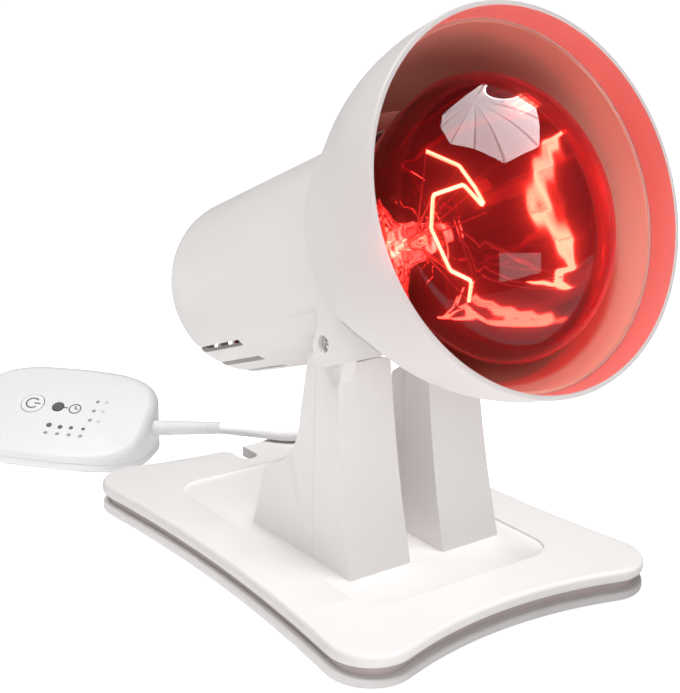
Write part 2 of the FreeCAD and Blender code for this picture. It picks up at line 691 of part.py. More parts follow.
def build_housing():
    outside = turned("HousingOutside", housing_corners("0", "-{housing_front}"))
    inside = turned("HousingInside", housing_corners("{housing_wall}", "-{housing_front} - 1"))
    lug_cup = rod("LugCup", "{lug_radius} + {lug_room} + 1.6", "{ear_inner} - {lug_inner} + 3.6",
                  ("{lug_inner} - 3", "-{pivot_along}", "-{pivot_drop}"), "+x")
    lug_room = rod("LugRoom", "{lug_radius} + {lug_room}", "{ear_inner} - {lug_inner} + 1.4",
                   ("{lug_inner} - 1.4", "-{pivot_along}", "-{pivot_drop}"), "+x")
    ear = without("EarTrimmed", ear_body(), [
        shade_room(), turned("EarTrim", housing_corners("1", "-{housing_front}"))])
    posts = []
    for index, side in enumerate((-1, 1)):
        post = rod("BracketPost%d" % index, "4", "{housing_rear} + {holder_rear} - 2.6",
                   ("{lamp_side} + %d" % (side * 23), "-{holder_rear} + 1.6", "-{lamp_droop}"),
                   "+y")
        posts.append(post)
    cup_right = shared("LugCupRight", lug_cup, doc.getObject("HousingOutside"))
    cup_left = mirrored("LugCupLeft", cup_right)
    shell = without("HousingShell", outside, [inside])
    solid = joined("HousingSolid", [shell, ear, mirrored("EarLeft", ear), cup_right, cup_left]
                   + [shared("Post%d" % index, post, doc.getObject("HousingOutside"))
                      for index, post in enumerate(posts)])
    tools = [lug_room, mirrored("LugRoomLeft", lug_room)]
    ear_bore = rod("EarBore", "3.0", "12", ("{ear_inner} - 2", "-{pivot_along}", "-{pivot_drop}"),
                   "+x")
    tools += [ear_bore, mirrored("EarBoreLeft", ear_bore)]
    for index in range(7):
        angle = math.radians(-90 + (index - 3) * 17)
        slot = block("Vent%d" % index, ("{vent_width}", "{housing_rear} - {vent_front} + 2", "26"),
                     ("0", "0", "0"))
        direction = Vector(math.cos(angle), 0, math.sin(angle))
        turn = Rotation(Vector(0, 1, 0), -math.degrees(angle) + 90)
        start = Vector(-value("{vent_width}") / 2, value("{vent_front}"), 0)
        for axis in "xyz":
            slot.setExpression("Placement.Base." + axis, None)
        slot.Placement = Placement(direction * 19, Rotation()).multiply(
            Placement(Vector(), turn)).multiply(Placement(start, Rotation()))
        tools.append(slot)
    for index, side in enumerate((-1, 1)):
        tools.append(rod("PostPilot%d" % index, "{screw_radius} + {screw_fit}", "12",
                         ("{lamp_side} + %d" % (side * 23), "-{holder_rear} + 1",
                          "-{lamp_droop}"), "+y"))
    make_node("head_housing", on_head(without("Housing", solid, tools)))


def shade_outside():
    """The bell's outer line, from its neck to its rim."""
    bend_y = "-({shade_flare_at} * 0.46 + {rim_at} * 0.54 - 6.7)"
    return [
        ("-{shade_rear}", "{shade_neck} - 3"),
        ("-{shade_rear} - 2.6", "{shade_neck}", "-{shade_rear} - 0.6", "{shade_neck} - 1.1"),
        ("-{shade_flare_at}", "{shade_flare}"),
        ("-{rim_at} + 13.4", "{rim_radius} - 0.75", bend_y, "{rim_radius} - 3.1"),
        ("-{rim_at} + 0.7", "{rim_radius}"),
    ]


def shade_room():
    """The shade's outer form with a small gap, which trims the ears to it."""
    gap = " + 0.12"
    corners = []
    for corner in shade_outside():
        raised = (corner[0], corner[1] + gap)
        if len(corner) == 4:
            raised += (corner[2], corner[3] + gap)
        corners.append(raised)
    corners.append(("-{rim_at} + 0.7", "0"))
    corners.insert(0, ("-{shade_rear} + 0.3", "{shade_neck} - 3" + gap))
    corners.insert(0, ("-{shade_rear} + 0.3", "0"))
    return turned("ShadeRoom", corners)


def build_shade():
    corners = shade_outside()
    bend = corners[3]
    corners += [
        ("-{rim_at}", "{rim_radius} - 0.7", "-{rim_at} + 0.2", "{rim_radius} - 0.2"),
        ("-{rim_at} + 0.5", "{rim_radius} - {rim_lip}", "-{rim_at}",
         "{rim_radius} - {rim_lip} + 0.3"),
        ("-{step_at}", "{rim_radius} - {rim_lip} - 0.5"),
        ("-{step_at}", "{rim_radius} - {rim_lip} - 0.9"),
        ("-{shade_flare_at}", "{shade_flare} - {shade_wall}", bend[2],
         bend[3] + " - {shade_wall}"),
        ("-{shade_rear} - 3.6", "{shade_neck} - 1.4"),
        ("-{shade_rear} - 1.8", "{shade_neck} - 2.6"),
        ("-{shade_rear} - 1.8", "{housing_front_radius} + {part_gap}"),
        ("-{shade_rear}", "{housing_front_radius} + {part_gap}"),
    ]
    make_node("shade", on_head(turned("Shade", corners)))


def build_liner():
    """The heat shield that lines the shade behind the step."""
    out = " - {shade_wall} - 2 * {part_gap}"
    thin = out + " - {liner_wall}"
    bend = shade_outside()[3]
    lift = ("{rim_radius} - {rim_lip} - 0.9 - 2 * {part_gap}",
            "{rim_radius} - {rim_lip} - 0.9 - 2 * {part_gap} - {liner_wall}")
    neck = "{shade_neck} + 1.7"
    flange = "{housing_front} + {part_gap}"
    corners = [
        ("-(" + flange + ")", "{housing_front_radius} - 1.2"),
        ("-(" + flange + ")", neck + out),
        ("-{shade_flare_at}", "{shade_flare}" + out),
        ("-{step_at} + 0.3", lift[0], bend[2], bend[3] + out),
        ("-{step_at} + 0.3", lift[1]),
        ("-{shade_flare_at}", "{shade_flare}" + thin, bend[2], bend[3] + thin),
        ("-(" + flange + ") - {liner_wall}", neck + thin + " + 0.4"),
        ("-(" + flange + ") - {liner_wall}", "{housing_front_radius} - 1.2"),
    ]
    make_node("heat_shield", on_head(turned("HeatShield", corners)))


# --------------------------------------------------------------- holder and bulb
def build_holder():
    front = "-({holder_front})"
    rear = "-({holder_rear})"
    room = "{shell_radius} + 0.1"
    holder = turned("Holder", [
        (front, room),
        (front, "{holder_radius} - 1"),
        (front + " + 1", "{holder_radius}"),
        (front + " + 28", "{holder_radius}"),
        (front + " + 31", "{holder_radius} - 3"),
        (rear, "{holder_radius} - 3"),
        (rear, "0"),
        (rear + " - 7", "0"),
        (rear + " - 7", room),
    ])
    make_node("lamp_holder", with_lamp(holder))
    shell = turned("HolderShell", [
        (front + " + 2", "{shell_radius} - 0.4"),
        (front + " + 2", "{shell_radius}"),
        (rear + " - 7", "{shell_radius}"),
        (rear + " - 7", "6"),
        (rear + " - 7.5", "6"),
        (rear + " - 7.5", "{shell_radius} - 0.4"),
    ])
    make_node("holder_shell", with_lamp(shell))
    tongue = block("HolderTongue", ("6", "0.8", "8"), ("-3", rear + " - 11", "-4"))
    foot = rod("HolderRivet", "1.5", "3.2", ("0", rear + " - 10.2", "0"), "+y")
    make_node("centre_contact", with_lamp(joined("CentreContact", [tongue, foot])))
    plate = block("BracketPlate", ("56", "1.6", "14"), ("-28", rear, "-7"))
    holes = []
    for index, side in enumerate((-1, 1)):
        holes.append(rod("PlateHole%d" % index, "{screw_radius} + {hole_fit}", "6",
                         (str(side * 23), rear + " - 2", "0"), "+y"))
    make_node("holder_bracket", with_lamp(without("HolderBracket", plate, holes)))
    screws = []
    for index, side in enumerate((-1, 1)):
        screws.append(screw("HolderScrew%d" % index, (str(side * 23), rear, "0"), "+y", "10"))
    make_node("holder_screws", with_lamp(group("HolderScrews", screws)))
    clamps = []
    for index, side in enumerate((-1, 1)):
        clamps.append(rod("Clamp%d" % index, "2.2", "4", (str(side * 9), rear + " + 1.6", "0"),
                          "+y"))
    make_node("terminal_screws", with_lamp(group("TerminalScrews", clamps)))


def dome_depth(rise, radius):
    """Depth of a dome of this rise and radius, half the bulb's radius from its middle."""
    ball = "((%s)^2 + (%s)^2) / (2 * %s)" % (radius, rise, rise)
    return "(%s - sqrt((%s)^2 - ({bulb_radius} * 0.5)^2))" % (ball, ball)


def build_bulb():
    face = "-{bulb_face}"
    wide = "{bulb_radius}"
    neck = "{neck_radius}"
    wall = "{glass_wall}"
    outer_dome = dome_depth("9.2", wide + " - 4.4")
    inner_dome = dome_depth("9.2", wide + " - 4.4 - " + wall)
    glass = turned("BulbGlass", [
        (face, "0"),
        (face + " + 9.2", wide + " - 4.4", face + " + " + outer_dome, wide + " * 0.5"),
        (face + " + 18", wide, face + " + 13", wide + " - 1.2"),
        (face + " + 60", "28.4", face + " + 37.5", wide + " - 5.9"),
        (face + " + 88", neck + " + 1.2", face + " + 75", "19.4"),
        ("-({neck_end})", neck),
        ("-({neck_end})", neck + " - " + wall),
        (face + " + 88", neck + " + 1.2 - " + wall),
        (face + " + 60", "28.4 - " + wall, face + " + 75", "19.4 - " + wall),
        (face + " + 18", wide + " - " + wall, face + " + 37.5", wide + " - 5.9 - " + wall),
        (face + " + 9.2 + " + wall, wide + " - 4.4 - " + wall,
         face + " + 13.4", wide + " - 2.1"),
        (face + " + " + wall, "0", face + " + " + wall + " + " + inner_dome, wide + " * 0.5"),
    ])
    make_node("bulb_glass", with_lamp(glass))
    rear = "-({neck_end})"
    stem = turned("BulbStem", [
        (rear + " - 1", "0"),
        (rear + " - 1", neck + " - 0.9"),
        (rear + " - 2", neck + " - 0.9"),
        (rear + " - 8", "5"),
        (rear + " - 26", "4"),
        (rear + " - 42", "2"),
        (rear + " - 52", "2"),
        (rear + " - 53", "0"),
    ])
    make_node("bulb_stem", with_lamp(stem))
    cap = turned("BulbCap", cap_corners())
    make_node("bulb_cap", with_lamp(cap))
    back = "-({cap_rear})"
    insulator = turned("CapInsulator", [
        (back, "4.6"),
        (back, "{cap_radius} - 1.4"),
        (back + " + 2", "6"),
        (back + " + 2", "4.6"),
    ])
    make_node("cap_insulator", with_lamp(insulator))
    button = rod("CapButton", "4.5", "3.2", ("0", back, "0"), "+y")
    make_node("cap_contact", with_lamp(group("CapContact", [button])))


def cap_corners():
    """Screw cap: a rolled thread of five rings between two plain bands."""
    front = value("-({neck_end}) + 0.2")
    radius = value("{cap_radius}")
    pitch = 3.63
    corners = [
        (str(front), str(radius - 0.35)),
        (str(front), str(value("{neck_radius}"))),
        (str(front + 1.0), str(value("{neck_radius}"))),
        (str(front + 4.0), str(radius - 0.6)),
    ]
    start = front + 5.0
    for ring in range(5):
        near = start + ring * pitch
        corners.append((str(near), str(radius - 0.6)))
        corners.append((str(near + pitch * 0.9), str(radius - 0.6),
                        str(near + pitch * 0.45), str(radius)))
    back = value("-({cap_rear})")
    corners.append((str(back - 1.2), str(radius - 0.6)))
    corners.append((str(back), str(radius - 1.4)))
    corners.append((str(back), str(radius - 1.9)))
    corners.append((str(front + 2), str(radius - 1.6)))
    return corners


# Corners of the wire: across, forward and up from the middle of the bulb's neck.
FILAMENT = [
    (-0.8, 58, -23.7), (2.3, 58, -17.3), (-5.8, 58, -12.6), (-9.9, 58, 1.7), (-6.2, 58, 12.4),
    (7.3, 58, 14.4), (15.6, 58, 4.3), (14.1, 56, 12.7), (10.7, 54, 21.3), (0.4, 51, 27.9),
]


def filament_corners():
    reach = value("{filament_reach}")
    return [Vector(across * reach, -forward, up * reach) for across, forward, up in FILAMENT]


def filament_shape():
    """The glowing wire: straight lengths bent at the hooks that hold it."""
    corners = filament_corners()
    radius = value("{filament_wire}")
    lengths = [Part.makeSphere(radius, corner) for corner in corners]
    for start, end in zip(corners, corners[1:]):
        span = end - start
        lengths.append(Part.makeCylinder(radius, span.Length, start, span))
    return lengths[0].multiFuse(lengths[1:])


def round_sweep(path, radius):
    """A round bar along a wire."""
    first = path.OrderedEdges[0]
    start = first.valueAt(first.FirstParameter)
    ahead = first.tangentAt(first.FirstParameter)
    if start.distanceToPoint(path.OrderedVertexes[0].Point) > 1e-6:
        start = first.valueAt(first.LastParameter)
        ahead = first.tangentAt(first.LastParameter) * -1
    ring = Part.Wire([Part.Circle(start, ahead, radius).toShape()])
    return path.makePipeShell([ring], True, False)


def build_filament():
    make_node("bulb_filament", with_lamp(shaped("Filament", filament_shape())))
    tip = -value("{neck_end}") - 49
    collar = Part.makeCylinder(3.0, 1.4, Vector(0, tip, 0), Vector(0, -1, 0))
    rods = [collar]
    for corner in filament_corners():
        aside = Vector(corner.x, 0, corner.z).normalize()
        start = aside * 2.5 + Vector(0, tip - 0.7, 0)
        span = corner - start
        length = span.Length - value("{filament_wire}") - 0.1
        rods.append(Part.makeCylinder(value("{support_wire}"), length, start, span))
    hole = Part.makeCylinder(2.0, 4, Vector(0, tip + 1, 0), Vector(0, -1, 0))
    spider = rods[0].multiFuse(rods[1:]).cut(hole)
    make_node("filament_supports", with_lamp(shaped("FilamentSupports", spider)))


# ---------------------------------------------------------------------- handset
def handset_place():
    return Placement(Vector(value("{handset_x}"), value("{handset_y}"), 0),
                     Rotation(Vector(0, 0, 1), value("{handset_turn}")))


def face_height(across):
    """Height of the sloping control face above the table."""
    slope = math.tan(math.radians(value("{handset_slope}")))
    return value("{handset_front}") + slope * (across + value("{handset_half_width}"))


def face_place(along, across, depth):
    """Axes on the sloping face of the handset, the depth measured inwards."""
    slope = value("{handset_slope}")
    turn = Rotation(Vector(1, 0, 0), slope)
    local = Placement(Vector(0, 0, face_height(0)), turn)
    return handset_place().multiply(local).multiply(
        Placement(Vector(along, across, -depth), Rotation()))


def pebble_face(inset, height):
    """The handset's plan: a superellipse, drawn in by an inset."""
    half_length = value("{handset_half_length}") - inset
    half_width = value("{handset_half_width}") - inset
    power = 2 / 3.2
    spots = []
    for step in range(24):
        turn = math.radians(step * 15 + 7.5)
        cosine = math.cos(turn)
        sine = math.sin(turn)
        spots.append(Vector(math.copysign(abs(cosine) ** power, cosine) * half_length,
                            math.copysign(abs(sine) ** power, sine) * half_width, height))
    curve = Part.BSplineCurve()
    curve.interpolate(Points=spots, PeriodicFlag=True)
    return Part.Face(Part.Wire([curve.toShape()]))


def pebble(inset, low, rounding):
    """Upright pebble under the sloping face, with its edges rounded."""
    solid = pebble_face(inset, low).extrude(Vector(0, 0, 60))
    slope = value("{handset_slope}")
    cap = Part.makeBox(200, 200, 80, Vector(-100, -100, 0))
    lift = face_height(0) - inset / math.cos(math.radians(slope))
    cap.Placement = Placement(Vector(0, 0, lift), Rotation(Vector(1, 0, 0), slope))
    solid = solid.cut(cap)
    if rounding > 0:
        upper = [edge for edge in solid.Edges if edge.BoundBox.ZLength > 10
                 and edge.BoundBox.XLength > 30]
        solid = solid.makeFillet(rounding, upper)
        lower = [edge for edge in solid.Edges if edge.BoundBox.ZMax < low + 0.01]
        solid = solid.makeFillet(rounding * 0.45, lower)
    return solid


LENS_ROWS = ([(15.0, 4.9 - 5.3 * step) for step in range(3)]
             + [(-1.7 + 5.2 * step, -14.9) for step in range(4)])
POWER_AT = (-13.2, 0.5)
TIMER_AT = (-1.4, 0.0)


def face_rod(along, across, depth, radius, length):
    """A bar square to the control face that starts at a depth and comes up."""
    bar = Part.makeCylinder(radius, length)
    bar.Placement = face_place(along, across, depth)
    return bar


def build_handset():
    wall = value("{handset_wall}")
    seam = value("{handset_seam}")
    shell = pebble(0, 0, value("{handset_round}")).cut(pebble(wall, wall, 0))
    lower_box = Part.makeBox(200, 200, seam, Vector(-100, -100, 0))
    upper_box = Part.makeBox(200, 200, 60, Vector(-100, -100, seam + 0.1))
    bottom = shell.common(lower_box)
    top = shell.common(upper_box)
    for along in (-28, 28):
        bottom = bottom.fuse(Part.makeCylinder(3.4, seam - 0.6, Vector(along, 9, 0.6)))
        post = Part.makeCylinder(3.4, 20, Vector(along, 9, seam + 0.1))
        top = top.fuse(post.common(pebble(0.5, 0, 0)))
    place = handset_place()
    bottom.Placement = place
    top.Placement = place
    pilot = value("{screw_radius} + {screw_fit}")
    for along in (-28, 28):
        for radius, low, high in ((value("{screw_head_radius}") + 0.2, 0, 2.0),
                                  (value("{screw_radius}") + 0.2, 0, seam)):
            hole = Part.makeCylinder(radius, high - low, Vector(along, 9, low))
            hole.Placement = place
            bottom = bottom.cut(hole)
        hole = Part.makeCylinder(pilot, 9, Vector(along, 9, seam - 1))
        hole.Placement = place
        top = top.cut(hole)
    gap = value("{button_gap}")
    for (along, across), radius in ((POWER_AT, value("{power_radius}")),
                                    (TIMER_AT, value("{timer_radius}"))):
        top = top.cut(face_rod(along, across, 3, radius + gap, 6))
    for along, across in LENS_ROWS:
        top = top.cut(face_rod(along, across, 3, value("{lens_radius} + 0.05"), 6))
    for hole_place, radius in ((relief_place(), "{relief_end} + 0.45"),
                               (inlet_place(), "{inlet_bore} + 1.45")):
        hole = Part.makeCylinder(value(radius), 12, Vector(-6, 0, 0), Vector(1, 0, 0))
        hole.Placement = hole_place
        top = top.cut(hole)
    make_node("handset_bottom", shaped("HandsetBottom", bottom))
    make_node("handset_top", shaped("HandsetTop", top))


def exit_local(sign):
    """Where a lead passes the handset's end wall, in the handset's own axes."""
    return Vector(sign * (value("{handset_half_length}") - 0.6), 3.0, 12.5)


def relief_place():
    """The lead's strain relief leaves the handset rising a little."""
    rise = Rotation(Vector(0, 1, 0), -value("{relief_rise}"))
    return handset_place().multiply(Placement(exit_local(1), rise))


def inlet_place():
    return handset_place().multiply(
        Placement(exit_local(-1), Rotation(Vector(0, 0, 1), 180)))


def build_buttons():
    proud = value("{button_proud}")
    travel = value("{button_travel}")
    wall = value("{handset_wall}")
    flange_depth = wall + 0.1
    for label, (along, across), radius in (("power_button", POWER_AT, value("{power_radius}")),
                                           ("timer_button", TIMER_AT, value("{timer_radius}"))):
        cap = face_rod(along, across, flange_depth + 0.5, radius, flange_depth + 0.5 + proud)
        flange = face_rod(along, across, flange_depth + 0.8, radius + 0.8, 0.8)
        stem_end = value("{board_depth}") - 1.5 - travel - 0.1
        stem = face_rod(along, across, stem_end, 1.2, stem_end - flange_depth)
        make_node(label, shaped(label + "_solid", cap.multiFuse([flange, stem]).removeSplitter()))
    lenses = [face_rod(along, across, value("{board_depth}") - 0.4, value("{lens_radius}"),
                       value("{board_depth}") - 0.3) for along, across in LENS_ROWS]
    make_node("indicator_lenses", shaped("Lenses", Part.makeCompound(lenses)))


def build_board():
    depth = value("{board_depth} + {board_thickness}")
    board = Part.makeBox(46, 31, value("{board_thickness}"))
    board.Placement = face_place(-23, -15.5 - 0.8, depth)
    make_node("circuit_board", shaped("Board", board))
    switches = []
    for along, across in (POWER_AT, TIMER_AT):
        body = Part.makeBox(4.4, 4.4, 1.4)
        body.Placement = face_place(along - 2.2, across - 2.2, value("{board_depth} - 0.05"))
        switches.append(body)
    make_node("button_switches", shaped("Switches", Part.makeCompound(switches)))
    relay = Part.makeBox(15, 8, 6.2)
    relay.Placement = face_place(2, 3, depth + 6.25)
    make_node("relay", shaped("Relay", relay))
    screws = [screw("HandsetScrew%d" % index, ("0", "0", "0"), "+z", "7.5")
              for index in range(2)]
    for item, along in zip(screws, (-28, 28)):
        item.Placement = handset_place().multiply(Placement(Vector(along, 9, 2.0), Rotation()))
    make_node("handset_screws", group("HandsetScrews", screws))


def along_axis(solid, place):
    solid.Placement = place
    return solid


def relief_shape(length, collar_radius, root, tip):
    """Tapered strain relief: a collar inside the wall, a neck and a long cone."""
    collar = Part.makeCylinder(collar_radius, 1.6, Vector(-3.6, 0, 0), Vector(1, 0, 0))
    neck = Part.makeCylinder(root, 4.0, Vector(-2.2, 0, 0), Vector(1, 0, 0))
    cone = Part.makeCone(root, tip, length - 1.8, Vector(1.8, 0, 0), Vector(1, 0, 0))
    return collar.multiFuse([neck, cone]).removeSplitter()


def build_reliefs():
    lead = value("{lead_diameter}") / 2
    relief = relief_shape(value("{relief_length}"), value("{relief_end} + 2"),
                          value("{relief_end} + 0.4"), lead)
    make_node("handset_relief", shaped("HandsetRelief", along_axis(relief, relief_place())))
    root = value("{inlet_bore} + 1.4")
    collar = Part.makeCylinder(root + 1.2, 1.6, Vector(-3.6, 0, 0), Vector(1, 0, 0))
    sleeve = Part.makeCylinder(root, 8.2, Vector(-2.2, 0, 0), Vector(1, 0, 0))
    bore = Part.makeCylinder(value("{inlet_bore}"), 12, Vector(-4, 0, 0), Vector(1, 0, 0))
    gland = collar.fuse(sleeve).cut(bore).removeSplitter()
    make_node("mains_inlet_gland", shaped("MainsInlet", along_axis(gland, inlet_place())))
    place = Placement(base_gland_spot(), Rotation())
    relief = relief_shape(value("{base_relief_length}"), value("{relief_end}"),
                          value("{relief_end} + 0.3"), lead)
    make_node("base_relief", shaped("BaseRelief", along_axis(relief, place)))


# ------------------------------------------------------------------------ leads
# Route of the lead from the handset to the put-away coil, and on to the base.
FRONT_ROUTE = [
    (22.3, 74.6, 15.8), (52.3, 69.4, 17.8), (73.0, 88.0, 13.2), (74.0, 110.0, 2.5),
]
REAR_ROUTE = [
    (129.0, 110.0, 6.9), (129.4, 90.0, 3.6), (121.5, 67.5, 2.6), (102.5, 56.0, 5.2),
]


def rounded_path(points, name):
    """Straight runs joined by tangent arcs, each as large as its runs allow."""
    spots = [Vector(*point) for point in points]
    edges = []
    radii = []
    cursor = spots[0]
    for before, corner, after in zip(spots, spots[1:], spots[2:]):
        back = before - corner
        ahead = after - corner
        shorter = min(back.Length, ahead.Length)
        back.normalize()
        ahead.normalize()
        turn = math.pi - back.getAngle(ahead)
        trim = 0.45 * shorter
        radii.append(trim / math.tan(turn / 2))
        start = corner + back * trim
        end = corner + ahead * trim
        inward = (back + ahead).normalize()
        center = corner + inward * (trim / math.sin(turn / 2))
        middle = center + (corner - center).normalize() * radii[-1]
        edges.append(Part.makeLine(cursor, start))
        edges.append(Part.Arc(start, middle, end).toShape())
        cursor = end
    edges.append(Part.makeLine(cursor, spots[-1]))
    print(name, "radii", " ".join("%.0f" % radius for radius in radii))
    return Part.Wire(edges)


def lead_tube(name, label, points):
    path = rounded_path(points, label)
    radius = value("{lead_diameter}") / 2
    tube = round_sweep(path, radius)
    expected = math.pi * radius ** 2 * path.Length
    print(label, "length %.1f" % path.Length, "volume ratio %.4f" % (tube.Volume / expected))
    make_node(label, shaped(name, tube))


def build_leads():
    tip = relief_place().multVec(Vector(value("{relief_length}"), 0, 0))
    print("handset relief tip", [round(number, 2) for number in tip])
    lead_tube("FrontLead", "lead_handset_side", [tuple(tip)] + FRONT_ROUTE)
    tip = base_gland_spot() + Vector(value("{base_relief_length}"), 0, 0)
    print("base relief tip", [round(number, 2) for number in tip])
    lead_tube("RearLead", "lead_base_side", REAR_ROUTE + [tuple(tip)])
    outer = value("{coil_radius} + {lead_diameter} / 2")
    inner = outer - value("{lead_diameter}") * 2 - 0.2
    middle = Vector(value("{coil_x}"), value("{coil_y}"), 0)
    height = value("{lead_diameter} * 1.88")
    ring = Part.makeCylinder(outer, height, middle).cut(
        Part.makeCylinder(inner, height, middle))
    make_node("lead_coil", shaped("LeadCoil", ring))


# ------------------------------------------------------------------------ wiring
def build_wires():
    """Two insulated wires from the holder to the housing's underside."""
    wires = []
    for side in (-1, 1):
        offset = side * 9
        points = [(offset, 59.9, 0), (offset - 1, 70, -3), (offset - 2, 74, -13),
                  (offset - 3, 67, -23.5), (offset - 3.5, 52, -26), (offset - 3.5, 36, -26.3)]
        wires.append(round_sweep(rounded_path(points, "head wire"), 0.9))
    make_node("head_wires", with_lamp(shaped("HeadWires", Part.makeCompound(wires))))
    start = base_gland_spot() - Vector(3.9, 0, 0)
    points = [tuple(start), (48, 54, 7.6), (38, 46, 8.1), (28, 34, 8.2), (22, 22, 8.2),
              (16, 12, 8.2)]
    wire = round_sweep(rounded_path(points, "base wire"), 1.2)
    make_node("base_wire", shaped("BaseWire", wire))


# ---------------------------------------------------------------------- assembly
def check_and_export():
    doc.recompute()
    for item in doc.Objects:
        for word in ("Invalid", "Error"):
            if word in item.State:
                raise RuntimeError("%s (%s) is %s" % (item.Name, item.Label, item.State))
    os.makedirs("parts", exist_ok=True)
    for label, item in nodes.items():
        shape = item.Shape
        if shape.isNull() or not shape.isValid() or not shape.Solids:
            raise RuntimeError("%s has no valid solid" % label)
    for label, item in nodes.items():
        item.Shape.exportStep("parts/%s.step" % label)
    print(len(nodes), "nodes written")


build_cover()
build_tray()
build_base_parts()
build_towers()
build_pivots()
build_housing()
build_shade()
build_liner()
build_holder()
build_bulb()
build_filament()
build_handset()
build_buttons()
build_board()
build_reliefs()
build_leads()
build_wires()
check_and_export()
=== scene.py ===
"""Finishes, glow and small parts of a table infrared heat lamp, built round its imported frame.

Lengths are in millimetres, and turn to metres where a mesh is made.
"""

import json
import math
import random

import bmesh
import bpy
from mathutils import Matrix, Vector

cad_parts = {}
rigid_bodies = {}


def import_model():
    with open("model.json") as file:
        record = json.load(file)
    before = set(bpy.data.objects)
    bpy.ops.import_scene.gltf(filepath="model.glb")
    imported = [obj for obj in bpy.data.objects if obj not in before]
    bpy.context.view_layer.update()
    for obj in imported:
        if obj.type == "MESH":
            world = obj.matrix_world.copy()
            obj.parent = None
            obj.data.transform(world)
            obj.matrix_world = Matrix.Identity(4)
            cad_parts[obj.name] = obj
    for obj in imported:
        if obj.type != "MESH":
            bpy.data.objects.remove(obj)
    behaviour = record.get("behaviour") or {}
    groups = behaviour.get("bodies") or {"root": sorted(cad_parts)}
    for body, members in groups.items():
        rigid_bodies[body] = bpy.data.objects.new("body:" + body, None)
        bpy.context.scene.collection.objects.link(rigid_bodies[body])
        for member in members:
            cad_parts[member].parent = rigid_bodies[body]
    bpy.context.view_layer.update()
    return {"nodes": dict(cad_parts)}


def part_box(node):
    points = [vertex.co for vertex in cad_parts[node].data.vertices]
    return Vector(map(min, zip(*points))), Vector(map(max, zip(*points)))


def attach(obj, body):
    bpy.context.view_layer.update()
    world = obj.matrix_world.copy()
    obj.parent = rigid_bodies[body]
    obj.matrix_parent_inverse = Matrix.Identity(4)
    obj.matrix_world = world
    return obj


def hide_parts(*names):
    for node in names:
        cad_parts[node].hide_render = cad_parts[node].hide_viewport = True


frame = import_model()

MM = 0.001
SMOOTH_UNDER = math.radians(32)


def shift(*way):
    return Matrix.Translation(way)


def spin(degrees, axis):
    return Matrix.Rotation(math.radians(degrees), 4, axis)


# Axes of the head, of the bulb in it, and of the handset, its sloping face and its relief.
HEAD = shift(0, 9.1, 108.8) @ spin(-21.84, "X")
LAMP = HEAD @ shift(3.0, 0, -2.0)
HANDSET = shift(-43.8, 150.2, 0) @ spin(-50, "Z")
FACE_SLOPE = 28
HANDSET_RIM, HANDSET_HALF_WIDTH = 6.0, 24.3
FACE_HEIGHT = HANDSET_RIM + HANDSET_HALF_WIDTH * math.tan(math.radians(FACE_SLOPE))
FACE = HANDSET @ shift(0, 0, FACE_HEIGHT) @ spin(FACE_SLOPE, "X")
RELIEF = HANDSET @ shift(40.4, 3.0, 12.5) @ spin(-5.9, "Y")
RELIEF_TIP = RELIEF @ Vector((30, 0, 0))


# ---------------------------------------------------------------------- node trees
def feed(tree, node, feeds):
    """Gives inputs of a node a value, or another node's output."""
    for name, source in feeds.items():
        if isinstance(source, bpy.types.NodeSocket):
            tree.links.new(source, node.inputs[name])
        else:
            node.inputs[name].default_value = source


def add(tree, kind, feeds=None, **settings):
    """A new node with its settings and what feeds it."""
    node = tree.nodes.new(kind)
    for name, setting in settings.items():
        setattr(node, name, setting)
    feed(tree, node, feeds or {})
    return node


def made(tree, kind, feeds=None, **settings):
    """The first output of a new node."""
    return add(tree, kind, feeds, **settings).outputs[0]


def calc(tree, operation, first, second=0.0, third=0.0):
    return made(tree, "ShaderNodeMath", {0: first, 1: second, 2: third}, operation=operation)


def vector_calc(tree, operation, first, second):
    return made(tree, "ShaderNodeVectorMath", {0: first, 1: second}, operation=operation)


def noise(tree, place, scale, detail, rough=0.5):
    return made(tree, "ShaderNodeTexNoise", {"Vector": place, "Scale": scale, "Detail": detail,
                                             "Roughness": rough})


def blend(tree, factor, first, second):
    """A colour between two."""
    return add(tree, "ShaderNodeMix", {"Factor": factor, 6: first, 7: second},
               data_type="RGBA").outputs[2]


def spread(tree, value, low, high, to_low, to_high):
    """A value stretched from one range to another."""
    return made(tree, "ShaderNodeMapRange", {"Value": value, "From Min": low, "From Max": high,
                                             "To Min": to_low, "To Max": to_high})


def object_place(tree):
    return add(tree, "ShaderNodeTexCoord").outputs["Object"]


NUMBER, COLOUR, VECTOR = "NodeSocketFloat", "NodeSocketColor", "NodeSocketVector"
SOLID, PAINT, COUNT = "NodeSocketGeometry", "NodeSocketMaterial", "NodeSocketInt"
SKIN = [("Color", COLOUR), ("Roughness", NUMBER), ("Height", NUMBER)]


def open_tree(kind, name, inputs, outputs):
    """A node group, its inputs' sockets and its output node."""
    tree = bpy.data.node_groups.new(name, kind)
    for label, socket_kind, *start in inputs:
        socket = tree.interface.new_socket(label, in_out="INPUT", socket_type=socket_kind)
        if start:
            socket.default_value = start[0]
    for label, socket_kind in outputs:
        tree.interface.new_socket(label, in_out="OUTPUT", socket_type=socket_kind)
    return tree, tree.nodes.new("NodeGroupInput").outputs, tree.nodes.new("NodeGroupOutput")


